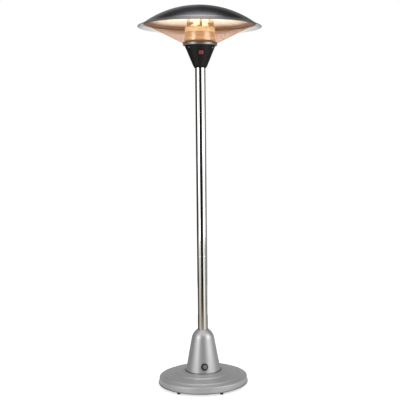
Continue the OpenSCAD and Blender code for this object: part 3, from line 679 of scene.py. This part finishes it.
def dark_ceramic():
    return grained("dark_ceramic", (0.085, 0.07, 0.06), 0.25, dull=(0.72, 0.88), height=0.0001,
                   grain=(250, 4), marks=(700, 4), roughness=0.8)


def white_plastic():
    return grained("white_plastic", (0.76, 0.74, 0.69), 0.04, dull=(0.4, 0.5), height=0.00003,
                   grain=(200, 3), patches=(90, 3), roughness=0.45)


def wire_cover():
    finish = Finish("wire_cover", roughness=0.7)
    finish.tint(finish.cells(900), (0.62, 0.56, 0.45), 0.15, CELL_SPAN)
    finish.rough(finish.noise(300), 0.62, 0.78)
    return finish.bump(finish.cells(1400), 0.0001)


def badge_plate():
    """Satin disc with a plain dark ring sunk near its edge."""
    finish = Finish("badge_plate", metallic=0.9, roughness=0.3)
    lowest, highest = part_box("cone_badge")
    reach = finish.radius((1, 0, 1), (0, 0, -(lowest.z + highest.z) / 2))
    share = finish.range(reach, 0, 1, (0, (highest.x - lowest.x) / 2))
    satin, dark, along = (0.50, 0.50, 0.51), grey(0.02), (0.05, 1, 1)
    finish.feed("Base Color", finish.ramp(share, *zip(BADGE_RING, (satin, dark, dark, satin))))
    finish.rough(finish.noise(400, 3, along), 0.26, 0.36)
    return finish.bump(finish.noise(900, 2, along), 0.000005)


def hot_quartz():
    glow = colours().glow
    finish = Finish("hot_quartz", color=(1.0, 0.9, 0.75), roughness=0.08, alpha=0.6,
                    emission_strength=colours().lamp_strength)
    return finish.shine(finish.noise(90, 2), scaled(glow, 0.94), glow)


def hot_filament():
    finish = Finish("hot_filament", metallic=1.0, roughness=0.4,
                    emission_strength=colours().lamp_strength)
    finish.tint(finish.noise(900), (0.8, 0.6, 0.4), 0.1)
    return finish.shine(finish.noise(300), (1.0, 0.72, 0.40), (1.0, 0.80, 0.52))


# The finish of each material slot
FINISHES = {
    "rubber": rubber, "zinc": zinc, "concrete": concrete, "silver_paint": silver_paint,
    "badge": badge_plate, "pole_chrome": polished_pole, "black_plastic": black_plastic,
    "black_gloss": black_gloss, "rocker_red": lit_red, "brass": brass, "ceramic": ceramic,
    "dark_ceramic": dark_ceramic, "white_plastic": white_plastic, "wire_cover": wire_cover,
    "collar_steel": brushed_collar, "copper_steel": polished_drum, "quartz": hot_quartz,
    "filament": hot_filament, "dome_metal": dome_outside,
}


def made_once(maker):
    """The material that a maker makes, made at the first call."""
    return bpy.data.materials.get("finish_" + maker.__name__) or maker().material


# ---- Operators ----


class HEATER_OT_base(bpy.types.Operator):
    """Make the pressed cover of the base with its sloping rings and rolled rim"""

    bl_idname = "heater.base"
    bl_label = "Base cover"

    def execute(self, context):
        size = context.scene.heater_base
        lowest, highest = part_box("base_cover")
        rim = Vector((highest.x - size.bead, lowest.z + size.bead))
        wall = highest.x - size.wall_lean
        fall = (highest.z - size.wall_top - 2 * size.step_height) / 3
        outer_step = wall - size.outer_ring
        inner_step = outer_step - size.step_width - size.middle_ring
        path = rounded([
            rim, (wall, size.wall_top),
            (outer_step, size.wall_top + fall),
            (outer_step - size.step_width, size.wall_top + fall + size.step_height),
            (inner_step, size.wall_top + 2 * fall + size.step_height),
            (inner_step - size.step_width, size.wall_top + 2 * fall + 2 * size.step_height),
            (size.flat_radius, highest.z), (size.hub_hole, highest.z)],
            COVER_ROUNDINGS)
        up = (path[1] - rim).normalized()
        start = math.degrees(math.atan2(up.y, up.x))
        # The bead ends where it meets the inner face of the wall
        end = 90 + start - math.degrees(math.acos(size.sheet / size.bead))
        bead = arc(rim, size.bead, end - 360, start, BEAD_STEPS)
        inside = beside(path, size.sheet)
        turned("base_cover_skin", [*bead, *path[1:], *reversed(inside[1:])], "silver_paint",
               "base_cover", base_paint, smooth=50)
        return {"FINISHED"}


class HEATER_OT_cone(bpy.types.Operator):
    """Make the round-shouldered cone that covers the pole's foot"""

    bl_idname = "heater.cone"
    bl_label = "Cone cover"

    def execute(self, context):
        size = context.scene.heater_base
        lowest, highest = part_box("cone_cover")
        foot = highest.x - size.lip
        path = rounded([
            (highest.x, lowest.z), (foot, lowest.z + size.lip_height),
            (size.shoulder_radius, highest.z - size.shoulder_height),
            (high("pole_lower").x + size.pole_gap, highest.z)],
            [size.lip_round, size.shoulder_round], SHOULDER_STEPS)
        inside = [Vector((p.x, max(p.y, lowest.z))) for p in beside(path, size.sheet)]
        turned("cone_cover_skin", [*path, *reversed(inside)], "silver_paint", "cone_cover", cone_paint)
        return {"FINISHED"}


class HEATER_OT_pole(bpy.types.Operator):
    """Make the three polished tubes of the pole, with a fine chamfer at each joint"""

    bl_idname = "heater.pole"
    bl_label = "Pole"

    def execute(self, context):
        chamfer, wall = 0.0006, 0.0012
        for node in ("pole_lower", "pole_middle", "pole_upper"):
            lowest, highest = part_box(node)
            outer, inner = highest.x, highest.x - wall
            outline = [(inner, lowest.z), (outer - chamfer, lowest.z), (outer, lowest.z + chamfer),
                       (outer, highest.z - chamfer), (outer - chamfer, highest.z), (inner, highest.z)]
            turned(node + "_tube", outline, "pole_chrome", node, smooth=30)
        return {"FINISHED"}


class HEATER_OT_drum(bpy.types.Operator):
    """Make the collar ring, the lamp drum and its cap as thin spun metal"""

    bl_idname = "heater.drum"
    bl_label = "Collar and drum"

    def execute(self, context):
        size = context.scene.heater_head
        sheet, hole = size.drum_sheet, size.wire_hole
        lowest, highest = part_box("collar_ring")
        collar = rounded([(hole, lowest.z), (highest.x, lowest.z), (highest.x, highest.z)],
                         [EDGE_ROUNDING])
        turned("collar_ring_skin", sheet_outline(collar, sheet), "collar_steel", "collar_ring")
        lowest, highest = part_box("lamp_drum")
        wall = high("drum_cap").x
        band = lowest.z + size.foot_band
        drum = rounded([(hole, lowest.z), (highest.x, lowest.z), (highest.x, band),
                        (wall, band + BAND_SLOPE), (wall, highest.z)],
                       [EDGE_ROUNDING, *BAND_ROUNDINGS])
        turned("lamp_drum_skin", sheet_outline(drum, sheet), "copper_steel", "lamp_drum")
        make_cap(size)
        return {"FINISHED"}


def make_cap(size):
    """The drum's cap: a perforated wall over a liner with a painted glow of the lamps' light, under a
    rounded lid.
    """
    lowest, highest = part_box("drum_cap")
    wall, height, sheet = highest.x, highest.z - lowest.z, size.drum_sheet
    margin, corner_cut, weld = 0.003, size.hole_width * 0.3, 1e-5
    rows = round((height - 2 * margin) / size.hole_pitch)
    around = round(math.tau * wall / size.hole_pitch)
    holes_low, holes_high = lowest.z + margin, highest.z - margin
    mesh = bmesh.new()
    levels = [holes_low + (holes_high - holes_low) * k / rows for k in range(rows + 1)]
    spin_outline(mesh, [(wall, z) for z in levels], around, closed=False)
    # Each hole is a square inset in its field, with its corners cut off
    frames = set(bmesh.ops.inset_individual(mesh, faces=mesh.faces[:], use_even_offset=True,
                                            thickness=(size.hole_pitch - size.hole_width) / 2)["faces"])
    corners = dict.fromkeys(v for f in mesh.faces if f not in frames for v in f.verts)
    bmesh.ops.bevel(mesh, geom=list(corners), affect="VERTICES", offset=corner_cut, segments=1,
                    profile=0.5, material=-1)
    plugs = [f for f in mesh.faces if len(f.verts) == 8 and max(len(e.link_faces) for e in f.edges) == 2
             and f.calc_area() < size.hole_width ** 2]
    bmesh.ops.delete(mesh, geom=plugs, context="FACES_ONLY")
    lid = rounded([(wall, holes_high), (wall, highest.z), (0, highest.z)], [EDGE_ROUNDING])
    spin_outline(mesh, lid, around, closed=False)
    spin_outline(mesh, [(wall, lowest.z), (wall, holes_low)], around, closed=False)
    bmesh.ops.remove_doubles(mesh, verts=mesh.verts, dist=weld)
    bmesh.ops.recalc_face_normals(mesh, faces=mesh.faces)
    bmesh.ops.solidify(mesh, geom=mesh.faces[:], thickness=sheet)
    # The liner behind the holes carries a painted glow of the lamps' light
    liner, foot, top = wall - 3 * sheet, lowest.z + sheet, highest.z - 2 * sheet
    spin_outline(mesh, [(liner, foot), (liner, top), (liner - sheet, top), (liner - sheet, foot)],
                 around, material=1)
    finish_piece(mesh, "drum_cap_skin", "copper_steel", "drum_cap", polished_drum, liner_painted_glow)


class HEATER_OT_lamps(bpy.types.Operator):
    """Make the coiled filaments inside the three quartz tubes"""

    bl_idname = "heater.lamps"
    bl_label = "Lamps"

    def execute(self, context):
        size = context.scene.heater_head
        half, from_axis, height = lamp_place()
        wire_sides, steps = 6, 12
        turns = round(2 * half / size.coil_pitch)
        pitch = 2 * half / turns
        mesh = bmesh.new()
        ring = bmesh.ops.create_circle(mesh, cap_ends=False, segments=wire_sides,
                                       radius=size.coil_wire)["verts"]
        place = Matrix.Translation((-half, 0, size.coil_radius)) @ Matrix.Rotation(math.pi / 2, 4, "X")
        bmesh.ops.transform(mesh, matrix=place, verts=ring)
        bmesh.ops.spin(mesh, geom=ring + mesh.edges[:], cent=(0, 0, 0), axis=(1, 0, 0),
                       dvec=(pitch / steps, 0, 0), angle=math.tau, steps=steps)
        first = everything(mesh)
        for k in range(1, turns):
            bmesh.ops.translate(mesh, vec=(k * pitch, 0, 0), verts=copied(mesh, first))
        bmesh.ops.remove_doubles(mesh, verts=mesh.verts, dist=WELD)
        coil = everything(mesh)
        bmesh.ops.translate(mesh, vec=(0, -from_axis, height), verts=mesh.verts)
        for turn in REAR_LAMPS:
            bmesh.ops.rotate(mesh, cent=(0, 0, 0), matrix=Matrix.Rotation(math.radians(turn), 3, "Z"),
                             verts=copied(mesh, coil))
        bmesh.ops.holes_fill(mesh, edges=[e for e in mesh.edges if e.is_boundary],
                             sides=wire_sides)
        bmesh.ops.recalc_face_normals(mesh, faces=mesh.faces)
        finish_piece(mesh, "lamp_filament_coils", "filament", "lamp_filaments", smooth=180)
        return {"FINISHED"}


def everything(mesh):
    """All vertices, edges and faces of a bmesh."""
    return mesh.verts[:] + mesh.edges[:] + mesh.faces[:]


def copied(mesh, geometry):
    """Copies geometry within the mesh and returns the new vertices."""
    made = bmesh.ops.duplicate(mesh, geom=geometry)["geom"]
    return [item for item in made if isinstance(item, bmesh.types.BMVert)]


def lamp_place():
    """Half the length of a lamp's filament, its distance from the Z axis and its height.

    The front lamp lies along X; the other two are turned by a third of a circle each."""
    lowest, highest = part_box("lamp_filaments")
    wire = (highest.z - lowest.z) / 2
    from_axis = -(lowest.y + wire)
    # A rear lamp's outer end lies at from_axis * sin 60 + half * cos 60 from the middle plane
    half = (highest.x - wire * math.cos(math.pi / 6) - from_axis * math.sin(math.pi / 3)) * 2
    return half, from_axis, (lowest.z + highest.z) / 2


class HEATER_OT_guard(bpy.types.Operator):
    """Make the guard: a flat diamond mesh rolled up to a cone, and its two wire hoops"""

    bl_idname = "heater.guard"
    bl_label = "Guard"

    def execute(self, context):
        size = context.scene.heater_head
        low_radius, low_z, low_wire = hoop_of("guard_bottom_hoop")
        top_radius, top_z, top_wire = hoop_of("guard_top_hoop")
        across, rise = top_radius - low_radius, top_z - low_z
        slope = math.hypot(across, rise)
        share = across / slope
        inner, outer = low_radius / share + low_wire, top_radius / share - top_wire
        half_turn = math.pi * share
        mesh = bmesh.new()
        cells = math.ceil(outer * math.sqrt(2) / size.cell_height)
        bmesh.ops.create_grid(mesh, x_segments=2 * cells, y_segments=2 * cells, size=cells)
        # Squares of one unit, stood on a corner and pressed to diamonds
        bmesh.ops.rotate(mesh, matrix=Matrix.Rotation(math.pi / 4, 3, "Z"), verts=mesh.verts)
        diagonal = math.sqrt(2)
        bmesh.ops.scale(mesh, vec=(size.cell_length / diagonal, size.cell_height / diagonal, 1),
                        verts=mesh.verts)
        waste = []
        for face in mesh.faces:
            reach, turn = polar(face.calc_center_median())
            if not (inner < reach < outer and abs(turn) < half_turn):
                waste.append(face)
        bmesh.ops.delete(mesh, geom=waste, context="FACES")
        bottom = low_z - (low_radius - inner * share) * rise / across
        for vert in mesh.verts:
            reach, turn = polar(vert.co)
            reach = min(max(reach, inner), outer)
            turn = min(max(turn, -half_turn), half_turn) / share
            radius = reach * share
            vert.co = (radius * math.sin(turn), -radius * math.cos(turn),
                       bottom + (reach - inner) * rise / slope)
        bmesh.ops.dissolve_degenerate(mesh, edges=mesh.edges, dist=size.strand / 2)
        bmesh.ops.recalc_face_normals(mesh, faces=mesh.faces)
        bmesh.ops.wireframe(mesh, faces=mesh.faces, thickness=size.strand, offset=0.0,
                            use_replace=True, use_boundary=True, use_even_offset=False)
        # The strands are cut from thin sheet, so they are flatter than they are wide
        for vert in mesh.verts:
            radius = math.hypot(vert.co.x, vert.co.y)
            off = (vert.co.z - bottom - (radius / share - inner) * rise / slope) * share
            sink = off * (1 - size.guard_sheet / size.strand)
            inward = Vector((vert.co.x, vert.co.y, 0)) * rise / slope / radius
            vert.co += (inward - Vector((0, 0, share))) * sink
        finish_piece(mesh, "guard_diamond_mesh", "copper_steel", "guard_mesh", copper_guard, smooth=20)
        last_turn = 360 * (1 - 1 / WIRE_STEPS)
        for node, radius, z, wire in (("guard_bottom_hoop", low_radius, low_z, low_wire),
                                      ("guard_top_hoop", top_radius, top_z, top_wire)):
            turned(node + "_wire", arc((radius, z), wire, 0, last_turn, WIRE_STEPS - 1),
                   "copper_steel", node, copper_wire)
        return {"FINISHED"}


def polar(spot):
    """Distance from the middle, and the angle from the front."""
    return math.hypot(spot.x, spot.y), math.atan2(spot.x, -spot.y)


class HEATER_OT_dome(bpy.types.Operator):
    """Make the spun dome: dark outside, bright inside, with a rolled edge made bright by a painted
    highlight
    """

    bl_idname = "heater.dome"
    bl_label = "Dome"

    def execute(self, context):
        size = context.scene.heater_head
        lowest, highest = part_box("dome")
        brim = highest.x - size.brim_width
        hem = Vector((highest.x - size.hem, lowest.z + size.hem))
        rise = highest.z - lowest.z - size.brim_height
        ball = (brim * brim + rise * rise) / (2 * rise)
        centre = (0, highest.z - ball)
        edge = math.degrees(math.acos(brim / ball))
        crown = arc(centre, ball, 90, edge, CROWN_STEPS)
        lining = beside(crown, -size.dome_sheet)
        lining[0].x = 0
        # The hem is rolled from the brim's upper face round to its lower face
        brim_way = (hem - crown[-1]).normalized()
        start = math.degrees(math.atan2(brim_way.x, -brim_way.y))
        roll = arc(hem, size.hem, start, start - 180, HEM_STEPS)
        mesh = bmesh.new()
        spin_outline(mesh, [*crown, *roll, *reversed(lining)], size.round_steps, closed=False)
        # The bright inside takes in the inner part of the hem's lower face
        inside_reach = hem.x - size.hem * 0.6
        for face in mesh.faces:
            if face.normal.z < 0 and polar(face.calc_center_median())[0] < inside_reach:
                face.material_index = 1
        finish_piece(mesh, "dome_shell", "dome_metal", "dome", dome_outside, dome_inside, smooth=50)
        return {"FINISHED"}


class HEATER_OT_finishes(bpy.types.Operator):
    """Give every carried-over piece the finish of its material slot"""

    bl_idname = "heater.finishes"
    bl_label = "Finishes"

    def execute(self, context):
        for part in frame["record"]["subparts"]:
            node = frame["nodes"][part["node"]]
            node.data.materials.clear()
            node.data.materials.append(made_once(FINISHES[part["material_slot"]]))
        frame["nodes"]["post_tubes"].data.materials[0] = made_once(warm_posts)
        return {"FINISHED"}


class HEATER_OT_stage(bpy.types.Operator):
    """Set up the pale floor, the soft studio lights, the dark cards and the camera"""

    bl_idname = "heater.stage"
    bl_label = "Stage"

    def execute(self, context):
        settings = context.scene.heater_stage
        context.scene.view_settings.view_transform = "Standard"
        make_world(settings)
        make_floor()
        make_cards()
        make_softboxes(settings)
        make_camera(settings)
        return {"FINISHED"}


def make_world(settings):
    """White where the background shows, and a soft light from all round elsewhere."""
    world = bpy.data.worlds.new("studio")
    bpy.context.scene.world = world
    world.use_nodes = True
    wiring = Wiring(world.node_tree)
    around = wiring.nodes["Background"]
    around.inputs["Color"].default_value = WHITE
    around.inputs["Strength"].default_value = settings.fill
    white = wiring.add("Background", Color=WHITE, Strength=1.0)
    wiring.surface(wiring.add("MixShader", wiring.seen_rays(), around.outputs[0], white.outputs[0]),
                   "World Output")


def make_floor():
    """A pale floor that shows white where no shadow falls."""
    finish = Finish("pale_floor", color=grey(FLOOR_GREY), roughness=1.0, specular_ior_level=0.0)
    camera = finish.add("LightPath").outputs["Is Camera Ray"]
    strength = finish.add("Mix", camera, A=FLOOR_GLOW[0], B=FLOOR_GLOW[1]).outputs["Result"]
    lift = finish.add("Emission", Color=WHITE)
    seen = finish.add("Math", finish.seen_rays(), strength, operation="MULTIPLY")
    finish.links.new(seen.outputs[0], lift.inputs["Strength"])
    finish.surface(finish.add("AddShader", finish.shader.outputs[0], lift.outputs[0]), "Material Output")
    mesh = bmesh.new()
    mesh.faces.new([mesh.verts.new((x * FLOOR_HALF, y * FLOOR_HALF, 0))
                    for x, y in ((-1, -1), (1, -1), (1, 1), (-1, 1))])
    object_from(mesh, "floor", finish.material)


def round_place(turn, distance, height):
    """A point round the heater: turn in degrees from the camera's side, to its right."""
    settings = bpy.context.scene.heater_stage
    way = settings.camera_turn + math.radians(turn)
    return Vector((distance * math.sin(way), -distance * math.cos(way), height))


def card_light(name, upright, stops):
    """A glow for a card. Its stops give a colour or a grey level for each height of an upright card,
    or for each distance of a flat card from the heater."""
    finish = Finish(name)
    finish.nodes.remove(finish.shader)
    share = finish.range(finish.height() if upright else finish.radius(), 0, 1, (0, CARD_SCALE))
    tones = [(place / CARD_SCALE, tint if isinstance(tint, tuple) else grey(tint))
             for place, tint in stops]
    finish.surface(finish.add("Emission", finish.ramp(share, *tones)), "Material Output")
    return finish.material


def card(name, start, end, inner, outer, material):
    """A card round the heater: an edge given by two places of distance and height, turned
    from one angle to the other. Only the heater's polished metal shows it."""
    mesh = bmesh.new()
    ends = [mesh.verts.new(round_place(start, *place)) for place in (inner, outer)]
    edge = mesh.edges.new(ends)
    bmesh.ops.spin(mesh, geom=[*ends, edge], cent=(0, 0, 0), axis=(0, 0, 1),
                   angle=math.radians(end - start), steps=round((end - start) / CARD_STEP))
    sheet = object_from(mesh, name, material)
    for ray in ("camera", "diffuse", "transmission", "volume_scatter", "shadow"):
        setattr(sheet, "visible_" + ray, False)


def upright_card(name, start, end, bottom, top, *stops):
    """A card that stands round the heater."""
    card(name, start, end, (CARD_DISTANCE, bottom), (CARD_DISTANCE, top),
         card_light(name, True, stops))


def flat_card(name, start, end, reach, *stops):
    """A card that lies just above the floor, from under the base's rim outwards."""
    card(name, start, end, (CARD_START, CARD_LIFT), (reach, CARD_LIFT),
         card_light(name, False, stops))


def make_cards():
    """Dark and grey cards round the heater: the dark room that its polished metal mirrors."""
    upright_card("front_card", -29, 25, 0.0, 3.0, (0.0, 0.01), (4.0, 0.02))
    upright_card("left_card", -150, -83, 0.0, 2.0, (0.0, 0.03), (4.0, 0.05))
    upright_card("right_card", 93, 150, 0.0, 2.0, (0.0, 0.24), (4.0, 0.2))
    upright_card("back_card", 150, 210, 0.0, 2.0, (0.0, 0.53), (0.9, 0.48), (1.2, 0.37), (1.7, 0.08))
    upright_card("upper_left_card", 181, 280, 2.0, 6.2, (2.0, 0.14), (2.6, 0.18), (3.3, 0.42),
                 (3.7, 0.40), (4.1, 0.12), (5.6, 0.12), (6.2, 0.36))
    upright_card("upper_right_card", 80, 181, 2.0, 6.2, (2.0, 0.04), (2.8, 0.06), (3.3, 0.30),
                 (3.7, 0.30), (4.1, 0.09), (5.6, 0.09), (6.2, 0.27))
    flat_card("front_floor", -32, 25, 3.0, (0.25, 0.3), (0.31, 0.85), (0.42, (0.88, 0.86, 0.84)),
              (0.8, (0.50, 0.46, 0.40)), (1.6, (0.22, 0.18, 0.13)), (2.1, (0.06, 0.05, 0.03)),
              (3.0, (0.02, 0.018, 0.014)))
    flat_card("left_floor", -83, -32, 7.0, (0.25, 0.2), (0.31, 0.55), (0.42, (0.60, 0.58, 0.56)),
              (1.6, (0.52, 0.47, 0.42)), (2.6, (0.60, 0.55, 0.49)), (3.6, (0.68, 0.63, 0.57)),
              (4.8, (0.80, 0.77, 0.72)), (6.8, (0.97, 0.96, 0.95)))
    flat_card("right_floor", 25, 57, 7.0, (0.25, 0.2), (0.31, 0.6), (0.42, (0.74, 0.71, 0.68)),
              (1.1, (0.72, 0.69, 0.65)), (1.7, (0.84, 0.83, 0.80)), (2.4, (1.06, 1.06, 1.04)),
              (6.8, (1.15, 1.15, 1.14)))
    flat_card("right_side_floor", 57, 93, 7.0, (0.25, 0.2), (0.31, 0.55), (0.55, (0.72, 0.70, 0.68)),
              (1.0, (0.56, 0.55, 0.54)), (1.8, 0.46), (2.2, 0.32), (3.6, 0.34))
    flat_card("left_edge_floor", -128, -83, 3.0, (0.26, (0.75, 0.72, 0.68)), (0.5, (0.4, 0.36, 0.32)),
              (0.9, (0.08, 0.07, 0.06)), (2.2, (0.02, 0.018, 0.015)), (3.0, (0.02, 0.018, 0.015)))
    flat_card("right_edge_floor", 93, 122, 3.0, (0.26, (0.80, 0.77, 0.74)), (0.5, (0.5, 0.46, 0.42)),
              (0.9, (0.14, 0.12, 0.11)), (2.0, (0.10, 0.09, 0.08)), (3.0, (0.2, 0.19, 0.18)))
    flat_card("back_floor", 122, 232, 1.75, (0.26, 0.3), (0.34, (0.40, 0.37, 0.33)),
              (0.6, (0.34, 0.28, 0.20)), (1.7, (0.30, 0.24, 0.17)))


def softbox(name, place, target, width, height, power):
    """A rectangular light at a place, turned to its target."""
    light = bpy.data.lights.new(name, "AREA")
    light.shape = "RECTANGLE"
    light.size, light.size_y = width, height
    light.energy = power
    lamp = bpy.data.objects.new(name, light)
    lamp.location = place
    lamp.rotation_euler = (Vector(target) - place).to_track_quat("-Z", "Y").to_euler()
    bpy.context.scene.collection.objects.link(lamp)


def make_softboxes(settings):
    """A tall softbox on each side, turned to the heater's middle, and one overhead."""
    for name, turn, width, power in (("left_softbox", -48.5, 1.16, settings.left_power),
                                     ("right_softbox", 58.5, 1.72, settings.right_power)):
        softbox(name, round_place(turn, SOFTBOX_DISTANCE, SOFTBOX_HEIGHT), AIM,
                width, SOFTBOX_LENGTH, power)
    softbox("top_softbox", round_place(TOP_TURN, TOP_DISTANCE, TOP_HEIGHT),
            round_place(TOP_TURN, TOP_DISTANCE, 0), 1.4, 1.38, settings.top_power)


def make_camera(settings):
    """The camera, turned and tilted to take in the whole heater."""
    data = bpy.data.cameras.new("camera")
    data.lens = settings.lens
    data.sensor_width = SENSOR_WIDTH
    data.shift_x = settings.shift
    camera = bpy.data.objects.new("camera", data)
    camera.location = round_place(0, settings.camera_distance, settings.camera_height)
    heading = settings.camera_turn - settings.camera_pan
    camera.rotation_euler = (
        Matrix.Rotation(heading, 3, "Z")
        @ Matrix.Rotation(math.pi / 2 - settings.camera_tilt, 3, "X")
        @ Matrix.Rotation(settings.camera_roll, 3, "Z")).to_euler()
    bpy.context.scene.collection.objects.link(camera)
    bpy.context.scene.camera = camera


STEPS = (HEATER_OT_stage, HEATER_OT_finishes, HEATER_OT_base, HEATER_OT_cone, HEATER_OT_pole,
         HEATER_OT_drum, HEATER_OT_lamps, HEATER_OT_guard, HEATER_OT_dome)
GROUPS = {"heater_base": BaseSizes, "heater_head": HeadSizes,
          "heater_colours": HeaterColours, "heater_stage": StageSettings}


class HEATER_PT_panel(bpy.types.Panel):
    """Lists the heater's settings and its making steps"""

    bl_label = "Terrace heater"
    bl_idname = "HEATER_PT_panel"
    bl_space_type = "VIEW_3D"
    bl_region_type = "UI"
    bl_category = "Heater"

    def draw(self, context):
        for name, group in GROUPS.items():
            box = self.layout.box()
            box.label(text=group.__doc__)
            for key in group.__annotations__:
                box.prop(getattr(context.scene, name), key)
        for step in STEPS:
            self.layout.operator(step.bl_idname)


def register():
    for group in GROUPS.values():
        bpy.utils.register_class(group)
    for name, group in GROUPS.items():
        setattr(bpy.types.Scene, name, PointerProperty(type=group))
    for item in (*STEPS, HEATER_PT_panel):
        bpy.utils.register_class(item)


def unregister():
    for item in reversed((*STEPS, HEATER_PT_panel)):
        bpy.utils.unregister_class(item)
    for name, group in GROUPS.items():
        delattr(bpy.types.Scene, name)
        bpy.utils.unregister_class(group)


def main():
    """Makes the heater on its stage."""
    register()
    for step in STEPS:
        group, name = step.bl_idname.split(".")
        getattr(getattr(bpy.ops, group), name)()


if __name__ == "__main__":
    main()
